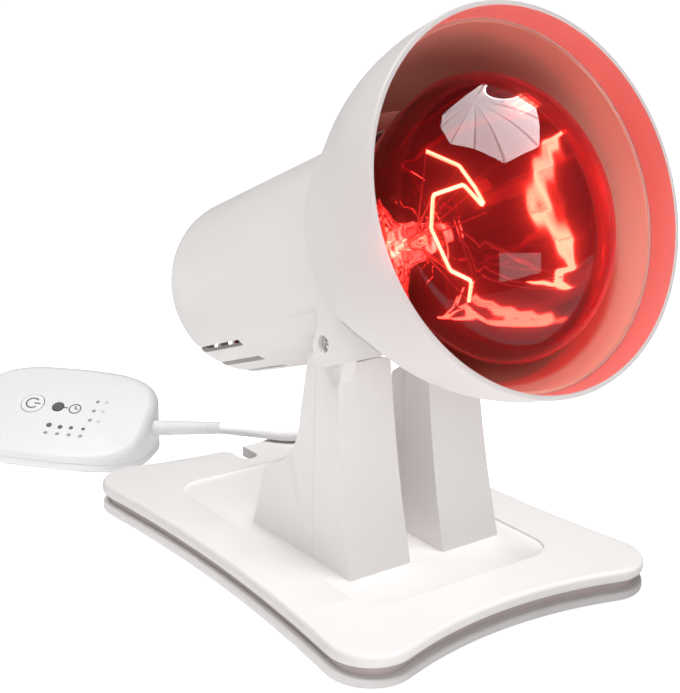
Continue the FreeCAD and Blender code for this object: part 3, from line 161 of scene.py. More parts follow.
# ------------------------------------------------------------------ finish effects
def moulded_skin():
    """Spark-eroded mould skin: a fine grain, slow colour drift and uneven gloss."""
    tree, given, end = open_tree("ShaderNodeTree", "moulded skin", [
        ("Grain Scale", NUMBER, 2200.0), ("Drift Scale", NUMBER, 18.0),
        ("Light", COLOUR, (0.8, 0.8, 0.8, 1)), ("Deep", COLOUR, (0.7, 0.7, 0.7, 1)),
        ("Gloss Low", NUMBER, 0.3), ("Gloss High", NUMBER, 0.45)], SKIN)
    place = object_place(tree)
    grain = noise(tree, place, given["Grain Scale"], 2.0)
    drift = noise(tree, place, given["Drift Scale"], 3.0, 0.55)
    smear = noise(tree, place, 95.0, 4.0)
    feed(tree, end, {
        "Color": blend(tree, drift, given["Deep"], given["Light"]), "Height": grain,
        "Roughness": spread(tree, smear, 0.3, 0.7, given["Gloss Low"], given["Gloss High"])})
    return tree


def worked_metal():
    """Metal with fine lines from drawing or rolling, and a slightly uneven tone."""
    tree, given, end = open_tree("ShaderNodeTree", "worked metal", [
        ("Line Scale", VECTOR, (60.0, 60.0, 2600.0)), ("Bright", COLOUR, (0.7, 0.7, 0.7, 1)),
        ("Dull", COLOUR, (0.5, 0.5, 0.5, 1)), ("Polish", NUMBER, 0.25)], SKIN)
    place = object_place(tree)
    lines = noise(tree, vector_calc(tree, "MULTIPLY", place, given["Line Scale"]), 1.0, 3.0)
    cloud = noise(tree, place, 260.0, 3.0)
    feed(tree, end, {
        "Color": blend(tree, cloud, given["Dull"], given["Bright"]), "Height": lines,
        "Roughness": calc(tree, "MULTIPLY_ADD", lines, 0.22, given["Polish"])})
    return tree


MOULDED = moulded_skin()
WORKED = worked_metal()


def open_material(name, looks):
    """A new material, its tree and its shader, which has these looks."""
    material = bpy.data.materials.new(name)
    material.use_nodes = True
    tree = material.node_tree
    tree.nodes.clear()
    shader = add(tree, "ShaderNodeBsdfPrincipled", looks)
    add(tree, "ShaderNodeOutputMaterial", {"Surface": shader.outputs[0]})
    return material, tree, shader


def bump(tree, shader, height, depth):
    """Raises a shader's surface by a height, where depth is in millimetres."""
    feed(tree, shader, {"Normal": made(tree, "ShaderNodeBump", {
        "Height": height, "Distance": depth * MM, "Strength": 1.0})})


def from_group(name, group, feeds, depth, looks):
    """A material that a finish effect makes, with the depth of its grain."""
    material, tree, shader = open_material(name, looks)
    skin = add(tree, "ShaderNodeGroup", feeds, node_tree=group).outputs
    feed(tree, shader, {"Base Color": skin["Color"], "Roughness": skin["Roughness"]})
    bump(tree, shader, skin["Height"], depth)
    return material


def moulding(name, light, deep, gloss, grain=2200.0, depth=0.012, specular=0.5):
    return from_group(name, MOULDED, {
        "Light": (*light, 1), "Deep": (*deep, 1), "Grain Scale": grain,
        "Gloss Low": gloss[0], "Gloss High": gloss[1]}, depth, {"Specular IOR Level": specular})


def metal(name, bright, dull, polish, lines=(60.0, 60.0, 2600.0), depth=0.006):
    return from_group(name, WORKED, {
        "Bright": (*bright, 1), "Dull": (*dull, 1), "Polish": polish, "Line Scale": lines},
        depth, {"Metallic": 1.0})


# The groove's grey is painted shade in the recess between the cover and the tray.
GROOVE_FROM = 4.72
GROOVE_SHADE_GREY = (0.46, 0.39, 0.38, 1)


def groove_shaded(material):
    """Paints shade into the tray's groove: greys a moulding from the height at which the groove
    shows it.
    """
    tree = material.node_tree
    shader = tree.nodes["Principled BSDF"]
    plain = shader.inputs["Base Color"].links[0].from_socket
    height = add(tree, "ShaderNodeSeparateXYZ", {0: object_place(tree)}).outputs["Z"]
    above = calc(tree, "GREATER_THAN", height, GROOVE_FROM * MM)
    feed(tree, shader, {"Base Color": blend(tree, above, plain, GROOVE_SHADE_GREY)})
    return material


def glass(name, tints, patch, rough, bend, shadow, ripple, depth):
    """Glass of an uneven tint, which tints the shadow rays that pass it.

    A patch and a ripple are a noise's scale and detail. A bend is an index of refraction.
    """
    material, tree, shader = open_material(name, {
        "Transmission Weight": 1.0, "Roughness": rough, "IOR": bend})
    place = object_place(tree)
    feed(tree, shader, {"Base Color": blend(tree, noise(tree, place, *patch), *tints)})
    end = shader.outputs[0].links[0].to_node
    is_shadow = add(tree, "ShaderNodeLightPath").outputs["Is Shadow Ray"]
    clear = made(tree, "ShaderNodeBsdfTransparent", {"Color": (*shadow, 1)})
    feed(tree, end, {"Surface": made(tree, "ShaderNodeMixShader", {
        0: is_shadow, 1: shader.outputs[0], 2: clear})})
    bump(tree, shader, noise(tree, place, *ripple), depth)
    return material


def with_painted_glints(material):
    """Paints glints as emission onto glass that stands close to the glowing wire: a painted
    highlight of the wire's light.
    """
    tree = material.node_tree
    glint_spots = noise(tree, object_place(tree), 240.0, 1.0)
    feed(tree, tree.nodes["Principled BSDF"], {
        "Emission Color": (1.0, 0.9, 0.2, 1),
        "Emission Strength": spread(tree, glint_spots, 0.55, 0.70, 0.0, 14.0)})
    return material


def silvering():
    """Vacuum-laid aluminium inside the bulb, with the rings of the blown glass in it."""
    material, tree, shader = open_material("reflector_silvering", {
        "Metallic": 1.0, "Roughness": 0.03})
    place = object_place(tree)
    ring_rate, ring_share = 900.0, 0.05
    about = LAMP.inverted()
    local = made(tree, "ShaderNodeMapping", {
        "Vector": place, "Location": about.translation * MM, "Rotation": about.to_euler()})
    along = add(tree, "ShaderNodeSeparateXYZ", {0: local}).outputs["Y"]
    rings = calc(tree, "SINE", calc(tree, "MULTIPLY", along, ring_rate))
    cloud = noise(tree, place, 30.0, 1.0)
    feed(tree, shader, {
        "Base Color": blend(tree, cloud, (0.46, 0.38, 0.42, 1), (0.66, 0.56, 0.60, 1))})
    bump(tree, shader, calc(tree, "MULTIPLY_ADD", rings, ring_share, cloud), 0.05)
    return material


def glowing_wire():
    """Tungsten at lamp heat, in a slightly uneven yellow."""
    material, tree, shader = open_material("glowing_tungsten", {
        "Base Color": (0.3, 0.3, 0.3, 1), "Roughness": 0.6, "Emission Strength": 34.0})
    heat = noise(tree, object_place(tree), 70.0, 1.0)
    feed(tree, shader, {
        "Emission Color": blend(tree, heat, (1.0, 0.95, 0.15, 1), (1.0, 1.0, 0.20, 1))})
    return material


def board_finish():
    """Green solder mask over a grid of tracks."""
    material, tree, shader = open_material("solder_mask", {"Roughness": 0.35})
    tracks = add(tree, "ShaderNodeTexBrick", {
        "Vector": object_place(tree), "Color1": (0.02, 0.16, 0.07, 1),
        "Color2": (0.03, 0.2, 0.09, 1), "Mortar": (0.06, 0.3, 0.14, 1), "Scale": 160.0,
        "Mortar Size": 0.05}).outputs
    feed(tree, shader, {"Base Color": tracks["Color"]})
    bump(tree, shader, tracks["Fac"], 0.03)
    return material


def print_ink(name, tone):
    """Pad-printed ink, slightly broken at the grain of the plastic under it."""
    material, tree, shader = open_material(name, {"Roughness": 0.5})
    speck = noise(tree, object_place(tree), 3000.0, 2.0)
    thin, thick = ((*[part * share for part in tone], 1) for share in (0.85, 1.15))
    feed(tree, shader, {"Base Color": blend(tree, speck, thin, thick)})
    bump(tree, shader, speck, 0.008)
    return material


# A moulding's light and deep tone, its range of roughness, its grain's scale and depth.
WHITE = moulding("warm_white_moulding", (0.86, 0.835, 0.825), (0.83, 0.80, 0.79), (0.34, 0.46))
# The tray's moulding is a darker copy of the white one, which is painted shade on the lower
# plate; its groove is greyer still, as painted shade.
SHADED_TRAY = groove_shaded(moulding("tray_white_with_groove", (0.72, 0.695, 0.69), (0.69, 0.665, 0.66),
                        (0.34, 0.46)))
HANDSET_WHITE = moulding("handset_white_moulding", (0.82, 0.82, 0.825), (0.79, 0.79, 0.80),
                         (0.30, 0.42), 2600.0, 0.008)
# The heat shield's reddish tone is painted red glow from the bulb.
SHIELD_RED_GLOW = moulding("shield_enamel", (0.68, 0.33, 0.26), (0.64, 0.30, 0.235), (0.40, 0.50),
                  900.0, 0.01, specular=0.25)
# The lip's coral colour is painted red glow from the bulb.
LIP_RED_GLOW = moulding("lip_enamel", (0.95, 0.31, 0.28), (0.93, 0.29, 0.26), (0.40, 0.50),
               900.0, 0.01, specular=0.25)
RUBBER = moulding("foot_rubber", (0.10, 0.10, 0.10), (0.06, 0.06, 0.06), (0.75, 0.9),
                  1500.0, 0.05)
NYLON = moulding("washer_nylon", (0.82, 0.81, 0.77), (0.76, 0.75, 0.71), (0.45, 0.6), 1800.0)
CERAMIC = moulding("glazed_ceramic", (0.90, 0.88, 0.83), (0.84, 0.81, 0.75), (0.12, 0.22),
                   500.0, 0.03)
VITRITE = moulding("cap_glass", (0.03, 0.03, 0.035), (0.015, 0.015, 0.02), (0.06, 0.12),
                   600.0, 0.02)
KEY_LIGHT = moulding("key_plastic_light", (0.84, 0.84, 0.845), (0.81, 0.81, 0.82), (0.30, 0.40))
KEY_DARK = moulding("key_plastic_dark", (0.055, 0.055, 0.06), (0.04, 0.04, 0.045), (0.35, 0.5))
LENS = moulding("lens_plastic", (0.36, 0.36, 0.37), (0.28, 0.28, 0.29), (0.12, 0.2), 900.0, 0.01)
LEAD = moulding("lead_sheath", (0.83, 0.83, 0.835), (0.79, 0.79, 0.80), (0.42, 0.55),
                1600.0, 0.02)
SILICONE = moulding("silicone_sleeve", (0.55, 0.06, 0.05), (0.45, 0.04, 0.035), (0.4, 0.55))
# A metal's bright and dull tone, its least roughness and the scale of its lines.
ZINC = metal("zinc_plate", (0.72, 0.72, 0.70), (0.52, 0.53, 0.54), 0.22)
STEEL = metal("screw_steel", (0.75, 0.75, 0.74), (0.55, 0.55, 0.56), 0.16, (900, 900, 900))
BRASS = metal("rolled_brass", (0.86, 0.64, 0.30), (0.62, 0.44, 0.18), 0.2)
SUPPORT = metal("support_wire", (0.7, 0.68, 0.66), (0.5, 0.48, 0.46), 0.3, (700, 700, 700))
RUBY = glass("ruby_stained_glass", [(0.86, 0.036, 0.120, 1), (0.97, 0.050, 0.150, 1)],
             patch=(28.0, 2.0), rough=0.0, bend=1.38, shadow=(0.95, 0.20, 0.16),
             ripple=(34.0, 1.0), depth=0.10)
STEM_GLASS = with_painted_glints(glass(
    "stem_glass", [(0.93, 0.93, 0.91, 1), (0.98, 0.98, 0.97, 1)], patch=(300.0, 2.0),
    rough=0.03, bend=1.45, shadow=(0.95, 0.95, 0.95), ripple=(300.0, 2.0), depth=0.02))
SILVER = silvering()
GLOW = glowing_wire()
BOARD = board_finish()
INK_DARK = print_ink("dark_ink", (0.09, 0.09, 0.095))
INK_PALE = print_ink("pale_ink", (0.62, 0.62, 0.63))


# ---------------------------------------------------------------------- mesh making
def listed(mesh, name):
    piece = bpy.data.objects.new(name, mesh)
    bpy.context.collection.objects.link(piece)
    return piece


def to_mesh(shape, name):
    """The mesh of a shape that is then let go."""
    mesh = bpy.data.meshes.new(name)
    shape.to_mesh(mesh)
    shape.free()
    return mesh


def finish_faces(mesh, *materials):
    """Soft shading with creases kept, and the materials in their slots."""
    for material in materials:
        mesh.materials.append(material)
    mesh.shade_smooth()
    mesh.set_sharp_from_angle(angle=SMOOTH_UNDER)
    return mesh


def apply_modifiers(piece):
    state = bpy.context.evaluated_depsgraph_get()
    mesh = bpy.data.meshes.new_from_object(piece.evaluated_get(state))
    piece.modifiers.clear()
    piece.data = mesh
    return piece


def settle(piece, body, slot, *nodes):
    """Puts a finished piece on its body and hides the nodes it stands for. The slot it is given
    is not used.
    """
    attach(piece, body)
    if nodes:
        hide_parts(*nodes)
    return piece


def rounded(corners):
    """A line through corners, where one with a via point is reached by an arc."""
    chord, least_turn, straight = 1.2, 0.22, 1e-6
    line = [Vector(corners[0][:2])]
    for corner in corners[1:]:
        end = Vector(corner[:2])
        if len(corner) == 2:
            line.append(end)
            continue
        start = line[-1]
        via = Vector(corner[2:])
        first, second = via - start, end - start
        cross = first.x * second.y - first.y * second.x
        if abs(cross) < straight:
            line.append(end)
            continue
        scale = 0.5 / cross
        middle = start + Vector((
            scale * (second.y * first.length_squared - first.y * second.length_squared),
            scale * (first.x * second.length_squared - second.x * first.length_squared)))
        radius = (start - middle).length
        begin, through, sweep = (math.atan2(spot.y - middle.y, spot.x - middle.x)
                                 for spot in (start, via, end))
        sweep, through = (sweep - begin) % math.tau, (through - begin) % math.tau
        if through > sweep:
            sweep -= math.tau
        count = max(3, math.ceil(abs(sweep) * radius / chord),
                    math.ceil(abs(sweep) / least_turn))
        for step in range(1, count + 1):
            angle = begin + sweep * step / count
            line.append(middle + Vector((math.cos(angle), math.sin(angle))) * radius)
    return line


def turned(name, corners, place, materials, closed=True, steps=192, paint=None):
    """A body turned from an outline of (forward, radius) corners about the light's axis.

    What paint says of a strip's middle picks the strip's material.
    """
    same, on_axis = 1e-6, 1e-5
    line = rounded(corners)
    if closed and (line[0] - line[-1]).length < same:
        line.pop()
    shape = bmesh.new()
    rings = []
    for along, radius in line:
        if radius < on_axis:
            rings.append([shape.verts.new((0, -along, 0))])
            continue
        rings.append([shape.verts.new((radius * math.cos(math.tau * step / steps), -along,
                                       radius * math.sin(math.tau * step / steps)))
                      for step in range(steps)])
    spans = list(zip(rings, rings[1:]))
    middles = [(a + b) / 2 for a, b in zip(line, line[1:])]
    if closed and len(rings[0]) > 1:
        spans.append((rings[-1], rings[0]))
        middles.append((line[-1] + line[0]) / 2)
    for (first, second), middle in zip(spans, middles):
        tone = paint(middle) if paint else 0
        for step in range(steps):
            after = (step + 1) % steps
            around = []
            for vert in (first[step % len(first)], first[after % len(first)],
                         second[after % len(second)], second[step % len(second)]):
                if vert not in around:
                    around.append(vert)
            if len(around) > 2:
                shape.faces.new(around).material_index = tone
    bmesh.ops.recalc_face_normals(shape, faces=shape.faces)
    shape.transform(Matrix.Scale(MM, 4) @ place)
    return listed(finish_faces(to_mesh(shape, name), *materials), name)


def refined(node, body, slot, material, edge):
    """A merged copy of a node with its edges broken this wide, in the node's place."""
    weld, flat, name = 0.002, math.radians(0.6), node + "_finished"
    shape = bmesh.new()
    shape.from_mesh(frame["nodes"][node].data)
    bmesh.ops.remove_doubles(shape, verts=shape.verts, dist=weld * MM)
    bmesh.ops.dissolve_limit(shape, angle_limit=flat, verts=shape.verts, edges=shape.edges)
    piece = listed(finish_faces(to_mesh(shape, name), material), name)
    if edge:
        bevel = piece.modifiers.new("Broken edges", "BEVEL")
        bevel.width = edge * MM
        bevel.segments = 2
        bevel.limit_method = "ANGLE"
        bevel.angle_limit = SMOOTH_UNDER
        bevel.harden_normals = True
        bevel.use_clamp_overlap = True
    return settle(apply_modifiers(piece), body, slot, node)


def refine(body, *rows):
    """Finishes nodes of a body: each row has a node, its slot, material and broken edge."""
    for node, slot, material, edge in rows:
        refined(node, body, slot, material, edge)


# ------------------------------------------------------------------- geometry nodes
def xyz(tree, x=0.0, y=0.0, z=0.0):
    return made(tree, "ShaderNodeCombineXYZ", {0: x, 1: y, 2: z})


def moved(tree, shape, **feeds):
    return made(tree, "GeometryNodeTransform", {"Geometry": shape, **feeds})


def swept(tree, curve, sides, radius):
    """A node that draws a round section along a curve."""
    ring = made(tree, "GeometryNodeCurvePrimitiveCircle", {"Resolution": sides, "Radius": radius})
    return add(tree, "GeometryNodeCurveToMesh", {
        "Curve": curve, "Profile Curve": ring, "Fill Caps": True})


def close_tree(tree, given, end, shape):
    """Ends a geometry tree with real faces in the given finish."""
    real = made(tree, "GeometryNodeRealizeInstances", {0: shape})
    feed(tree, end, {0: made(tree, "GeometryNodeSetMaterial", {
        "Geometry": real, "Material": given["Finish"]})})
    return tree


def screw_tree():
    """A round-headed screw with a cross recess at each point, its head facing as told."""
    tree, given, end = open_tree("GeometryNodeTree", "round headed screws", [
        ("Seats", SOLID), ("Head Radius", NUMBER, 0.0027), ("Head Height", NUMBER, 0.0018),
        ("Shank Radius", NUMBER, 0.0013), ("Length", NUMBER, 0.01), ("Recess", NUMBER, 0.0007),
        ("Finish", PAINT)], [("Screws", SOLID)])
    radius, height, length = given["Head Radius"], given["Head Height"], given["Length"]
    ball = made(tree, "GeometryNodeMeshUVSphere", {"Segments": 40, "Rings": 20, "Radius": 1.0})
    dome = moved(tree, ball, Scale=xyz(tree, radius, radius, height))
    wide = calc(tree, "MULTIPLY", radius, 3.0)
    block = made(tree, "GeometryNodeMeshCube", {"Size": xyz(tree, wide, wide, wide)})
    raised = moved(tree, block, Translation=xyz(tree, z=calc(tree, "MULTIPLY", wide, 0.5)))
    head = add(tree, "GeometryNodeMeshBoolean", {"Mesh 2": dome},
               operation="INTERSECT", solver="EXACT")
    feed(tree, head, {"Mesh 2": raised})
    cut = add(tree, "GeometryNodeMeshBoolean", {"Mesh 1": head.outputs[0]},
              operation="DIFFERENCE", solver="EXACT")
    long, narrow = calc(tree, "MULTIPLY", radius, 1.25), given["Recess"]
    for sides in ((long, narrow), (narrow, long)):
        beam = made(tree, "GeometryNodeMeshCube", {"Size": xyz(tree, *sides, height)})
        feed(tree, cut, {"Mesh 2": moved(tree, beam, Translation=xyz(tree, z=height))})
    shank = made(tree, "GeometryNodeMeshCylinder", {
        "Vertices": 24, "Radius": given["Shank Radius"], "Depth": length})
    just_inside = -0.4999
    down = xyz(tree, z=calc(tree, "MULTIPLY", length, just_inside))
    whole = add(tree, "GeometryNodeJoinGeometry")
    for part in (cut.outputs[0], moved(tree, shank, Translation=down)):
        feed(tree, whole, {0: part})
    facing = made(tree, "GeometryNodeInputNamedAttribute", {"Name": "facing"},
                  data_type="FLOAT_VECTOR")
    turn = made(tree, "FunctionNodeAlignRotationToVector", {"Vector": facing}, axis="Z")
    placed = made(tree, "GeometryNodeInstanceOnPoints", {
        "Points": given["Seats"], "Instance": whole.outputs[0], "Rotation": turn})
    return close_tree(tree, given, end, placed)


def ribbed_sleeve_tree():
    """A round sleeve along a line, tapering to its tip, with soft ribs round it."""
    tree, given, end = open_tree("GeometryNodeTree", "ribbed sleeve", [
        ("Line", SOLID), ("Root Radius", NUMBER, 0.0035), ("Tip Radius", NUMBER, 0.0025),
        ("Ribs", COUNT, 8), ("Rib Depth", NUMBER, 0.0002), ("Finish", PAINT)],
        [("Sleeve", SOLID)])
    points_per_rib = 12.0
    line = made(tree, "GeometryNodeMeshToCurve", {"Mesh": given["Line"]})
    count = calc(tree, "MULTIPLY_ADD", given["Ribs"], points_per_rib, 1.0)
    spaced = made(tree, "GeometryNodeResampleCurve", {"Curve": line, "Count": count})
    along = add(tree, "GeometryNodeSplineParameter").outputs["Factor"]
    taper = spread(tree, along, 0.0, 1.0, given["Root Radius"], given["Tip Radius"])
    turns = calc(tree, "MULTIPLY", calc(tree, "MULTIPLY", along, given["Ribs"]), math.tau)
    wave = calc(tree, "MULTIPLY_ADD", calc(tree, "COSINE", turns), 0.5, -0.5)
    pinch = calc(tree, "MULTIPLY", wave, given["Rib Depth"])
    sized = made(tree, "GeometryNodeSetCurveRadius", {
        "Curve": spaced, "Radius": calc(tree, "ADD", taper, pinch)})
    skin = swept(tree, sized, 48, 1.0)
    feed(tree, skin, {"Scale": made(tree, "GeometryNodeInputRadius")})
    return close_tree(tree, given, end, skin.outputs[0])


def coiled_wire_tree():
    """Fine wire wound in a close helix along a line whose corners are eased."""
    tree, given, end = open_tree("GeometryNodeTree", "coiled wire", [
        ("Line", SOLID), ("Coil Radius", NUMBER, 0.0005), ("Wire Radius", NUMBER, 0.00014),
        ("Pitch", NUMBER, 0.0006), ("Corner Radius", NUMBER, 0.0012), ("Finish", PAINT)],
        [("Wire", SOLID)])
    pitch, points_per_turn = given["Pitch"], 10.0
    line = made(tree, "GeometryNodeMeshToCurve", {"Mesh": given["Line"]})
    eased = made(tree, "GeometryNodeFilletCurve", {
        "Curve": line, "Radius": given["Corner Radius"], "Limit Radius": True})
    spaced = made(tree, "GeometryNodeResampleCurve", {
        "Curve": eased, "Length": calc(tree, "DIVIDE", pitch, points_per_turn)}, mode="LENGTH")
    length = add(tree, "GeometryNodeSplineParameter").outputs["Length"]
    turn = calc(tree, "MULTIPLY", calc(tree, "DIVIDE", length, pitch), math.tau)
    outward = made(tree, "GeometryNodeInputNormal")
    ahead = made(tree, "GeometryNodeInputTangent")
    side = vector_calc(tree, "CROSS_PRODUCT", ahead, outward)
    reaches = []
    for way, wave in ((outward, "COSINE"), (side, "SINE")):
        reach = calc(tree, "MULTIPLY", given["Coil Radius"], calc(tree, wave, turn))
        reaches.append(made(tree, "ShaderNodeVectorMath", {0: way, "Scale": reach},
                            operation="SCALE"))
    wound = made(tree, "GeometryNodeSetPosition", {
        "Geometry": spaced, "Offset": vector_calc(tree, "ADD", *reaches)})
    return close_tree(tree, given, end, swept(tree, wound, 6, given["Wire Radius"]).outputs[0])


def grown(name, tree, points, edges, sizes, facing=()):
    """The plain mesh that a tree makes from points and edges with these sizes."""
    seed = bpy.data.meshes.new(name)
    seed.from_pydata([Vector(point) * MM for point in points], edges, [])
    if facing:
        attribute = seed.attributes.new("facing", "FLOAT_VECTOR", "POINT")
        for index, way in enumerate(facing):
            attribute.data[index].vector = way
    piece = listed(seed, name)
    maker = piece.modifiers.new("Maker", "NODES")
    maker.node_group = tree
    for item in tree.interface.items_tree:
        if item.item_type == "SOCKET" and item.in_out == "INPUT" and item.name in sizes:
            maker[item.identifier] = sizes[item.name]
    finish_faces(apply_modifiers(piece).data)
    return piece


SCREWS = screw_tree()
SLEEVE = ribbed_sleeve_tree()
COILED = coiled_wire_tree()


SCREW_HEAD = 1.8
RECESS_SHARE = 0.28


def screws(node, body, seats, way, length, head=2.7, height=SCREW_HEAD, shank=1.3):
    """A set of screws that stands for a node: its seats, and which way the heads face."""
    ways = way if isinstance(way, list) else [way] * len(seats)
    piece = grown(node + "_set", SCREWS, seats, [], {
        "Head Radius": head * MM, "Head Height": height * MM, "Shank Radius": shank * MM,
        "Length": length * MM, "Recess": head * RECESS_SHARE * MM, "Finish": STEEL}, ways)
    return settle(piece, body, "screw_steel", node)


# ------------------------------------------------------------------ base and towers
BOTH_SIDES = (-1, 1)
TOWERS = ["tower_front_left", "tower_rear_left", "tower_front_right", "tower_rear_right"]


def finish_base():
    refine("base", ("base_cover", "housing_plastic", WHITE, 0.3),
           ("base_tray", "housing_plastic", SHADED_TRAY, 0.3),
           *[(tower, "housing_plastic", WHITE, 0.45) for tower in TOWERS],
           ("ballast_plate", "steel_plate", ZINC, 0.4), ("rubber_feet", "rubber", RUBBER, 0.35),
           ("pivot_washers", "washer_nylon", NYLON, 0.2),
           ("pivot_nuts", "screw_steel", STEEL, 0.3))


def finish_screws():
    down = (0, 0, -1)
    under = {node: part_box(node)[0].z / MM + SCREW_HEAD
             for node in ("base_screws", "tower_screws", "handset_screws")}
    screws("base_screws", "base", [
        (x * side, y, under["base_screws"]) for x, y in ((46, -64), (50.5, 0), (44, 64))
        for side in BOTH_SIDES], down, length=5.2)
    screws("tower_screws", "base", [(side * 20, y, under["tower_screws"]) for y in (-30, 5)
                                    for side in BOTH_SIDES], down, length=10.0)
    screws("handset_screws", "base", [
        HANDSET @ Vector((side * 28, 9, under["handset_screws"])) for side in BOTH_SIDES],
        down, length=7.4)
    screws("tower_cover_screws", "base", [(side * 20, -9.8, 50) for side in BOTH_SIDES],
           (0, 1, 0), length=16.5)
    low, high = (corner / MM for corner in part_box("pivot_screws"))
    middle = (low + high) / 2
    head_high = 1.7
    screws("pivot_screws", "base", [(side * (high.x - head_high), middle.y, middle.z)
                                    for side in BOTH_SIDES], [(-1, 0, 0), (1, 0, 0)],
           length=9.0, head=2.9, height=head_high, shank=2.0)


# ------------------------------------------------------------------------ the shade
# Outlines: (forward, radius) corners, each with its arc's via point where it has one.
SHADE = [
    (37.5, 39.3), (40.1, 42.3, 38.1, 41.2), (60, 51.8), (88, 60.15, 75.66, 57.8),
    (100.7, 60.9), (101.4, 60.2, 101.2, 60.7), (100.9, 59.1, 101.4, 59.4), (91.2, 58.6),
    (91.2, 58.2), (60, 49.8, 75.66, 55.8), (41.1, 40.9), (39.3, 39.7), (39.3, 37.55),
    (37.5, 37.55), (37.5, 39.3)]
LINER = [
    (43.15, 36.2), (43.15, 41.7), (60, 49.5), (90.5, 57.8, 75.66, 55.5), (90.5, 58.1),
    (90.9, 58.1), (90.9, 57.1), (60, 48.7, 75.66, 54.7), (43.95, 41.3), (43.95, 36.2),
    (43.15, 36.2)]
# The shade's inner lip, from here forward and within this radius, takes the painted red glow.
LIP_FROM, LIP_WITHIN = 91, 59.3
LATHE_STEPS = 256


def finish_head():
    # Picks the faces of the inner lip, which carry the painted red glow.
    def painted_glow_side(middle):
        return 1 if middle.y < LIP_WITHIN and middle.x > LIP_FROM else 0

    shade = turned("shade_bell", SHADE, HEAD, [WHITE, LIP_RED_GLOW], steps=LATHE_STEPS, paint=painted_glow_side)
    settle(shade, "head", "housing_plastic", "shade")
    # The liner carries the painted red glow of the bulb in its colour.
    liner = turned("heat_shield_bowl", LINER, HEAD, [SHIELD_RED_GLOW], steps=LATHE_STEPS)
    settle(liner, "head", "heat_shield_enamel", "heat_shield")
    refine("head", ("head_housing", "housing_plastic", WHITE, 0.3))


# ------------------------------------------------------------------ holder and bulb
GLASS_OUTSIDE = [
    (98, 0), (88.8, 41.8, 95.32, 23.1), (80, 46.2, 85, 45.0), (38, 28.4, 60.5, 40.3),
    (10, 15.4, 23, 19.4), (-12, 14.2)]
GLASS_INSIDE = [
    (-12, 13.4), (10, 14.6), (38, 27.6, 23, 18.6), (80, 45.4, 60.5, 39.5),
    (88.0, 41.0, 84.6, 44.1), (97.2, 0, 94.57, 23.1)]
COAT = [
    (-11.5, 13.38), (10, 14.55), (38, 27.55, 23, 18.55), (77.5, 44.79, 60.5, 39.45),
    (77.5, 44.71), (38, 27.47, 60.5, 39.37), (10, 14.47, 23, 18.47), (-11.5, 13.30),
    (-11.5, 13.38)]
STEM = [
    (-11, 0), (-11, 13.3), (-10, 13.3), (-4, 5, -9, 7.5), (14, 4), (30, 2), (40, 2), (41, 0)]
# Corners of the glowing wire: (across, forward, up) in the bulb.
FILAMENT = [
    (-0.8, 58, -23.7), (2.3, 58, -17.3), (-5.8, 58, -12.6), (-9.9, 58, 1.7), (-6.2, 58, 12.4),
    (7.3, 58, 14.4), (15.6, 58, 4.3), (14.1, 56, 12.7), (10.7, 54, 21.3), (0.4, 51, 27.9)]


def in_lamp(across, forward, up):
    """A point in the bulb's own axes."""
    return LAMP @ Vector((across, -forward, up))


def finish_bulb():
    bulb = turned("ruby_bulb", GLASS_OUTSIDE + GLASS_INSIDE, LAMP, [RUBY], closed=False)
    settle(bulb, "head", "ruby_glass", "bulb_glass")
    settle(turned("mirror_coat", COAT, LAMP, [SILVER]), "head", "ruby_glass")
    stem = turned("glass_stem", STEM, LAMP, [STEM_GLASS], closed=False, steps=64)
    settle(stem, "head", "clear_glass", "bulb_stem")
    wire = grown("coiled_filament", COILED, [in_lamp(*corner) for corner in FILAMENT],
                 [(index, index + 1) for index in range(len(FILAMENT) - 1)], {
        "Coil Radius": 0.5 * MM, "Wire Radius": 0.16 * MM, "Pitch": 0.62 * MM,
        "Corner Radius": 1.0 * MM, "Finish": GLOW})
    settle(wire, "head", "filament", "bulb_filament")
    refine("head", ("filament_supports", "filament", SUPPORT, 0.0),
           ("bulb_cap", "brass", BRASS, 0.0), ("cap_insulator", "black_glass", VITRITE, 0.2),
           ("cap_contact", "brass", BRASS, 0.3), ("lamp_holder", "ceramic", CERAMIC, 0.3),
           ("holder_shell", "brass", BRASS, 0.0), ("centre_contact", "brass", BRASS, 0.15),
           ("holder_bracket", "steel_plate", ZINC, 0.2), ("terminal_screws", "brass", BRASS, 0.2))
    bracket_rear, above_bracket = -54.0, 1.7
    seats = [in_lamp(side * 23, bracket_rear - above_bracket, 0) for side in BOTH_SIDES]
    forward = LAMP.to_3x3() @ Vector((0, -1, 0))
    screws("holder_screws", "head", seats, forward, length=9.6)
    refine("head", ("head_wires", "wire_red", SILICONE, 0.0))
    refine("base", ("base_wire", "wire_red", SILICONE, 0.0))


# ---------------------------------------------------------------------- the handset
def finish_handset():
    refine("base", ("handset_top", "handset_plastic", HANDSET_WHITE, 0.12),
           ("handset_bottom", "handset_plastic", HANDSET_WHITE, 0.12))
    refine("power", ("power_button", "button_plastic", KEY_LIGHT, 0.2))
    refine("timer", ("timer_button", "button_dark", KEY_DARK, 0.2))
    refine("base", ("indicator_lenses", "lens_plastic", LENS, 0.1),
           ("circuit_board", "board", BOARD, 0.1),
           ("button_switches", "button_dark", KEY_DARK, 0.2),
           ("relay", "button_dark", KEY_DARK, 0.3),
           ("mains_inlet_gland", "lead_sheath", LEAD, 0.2))


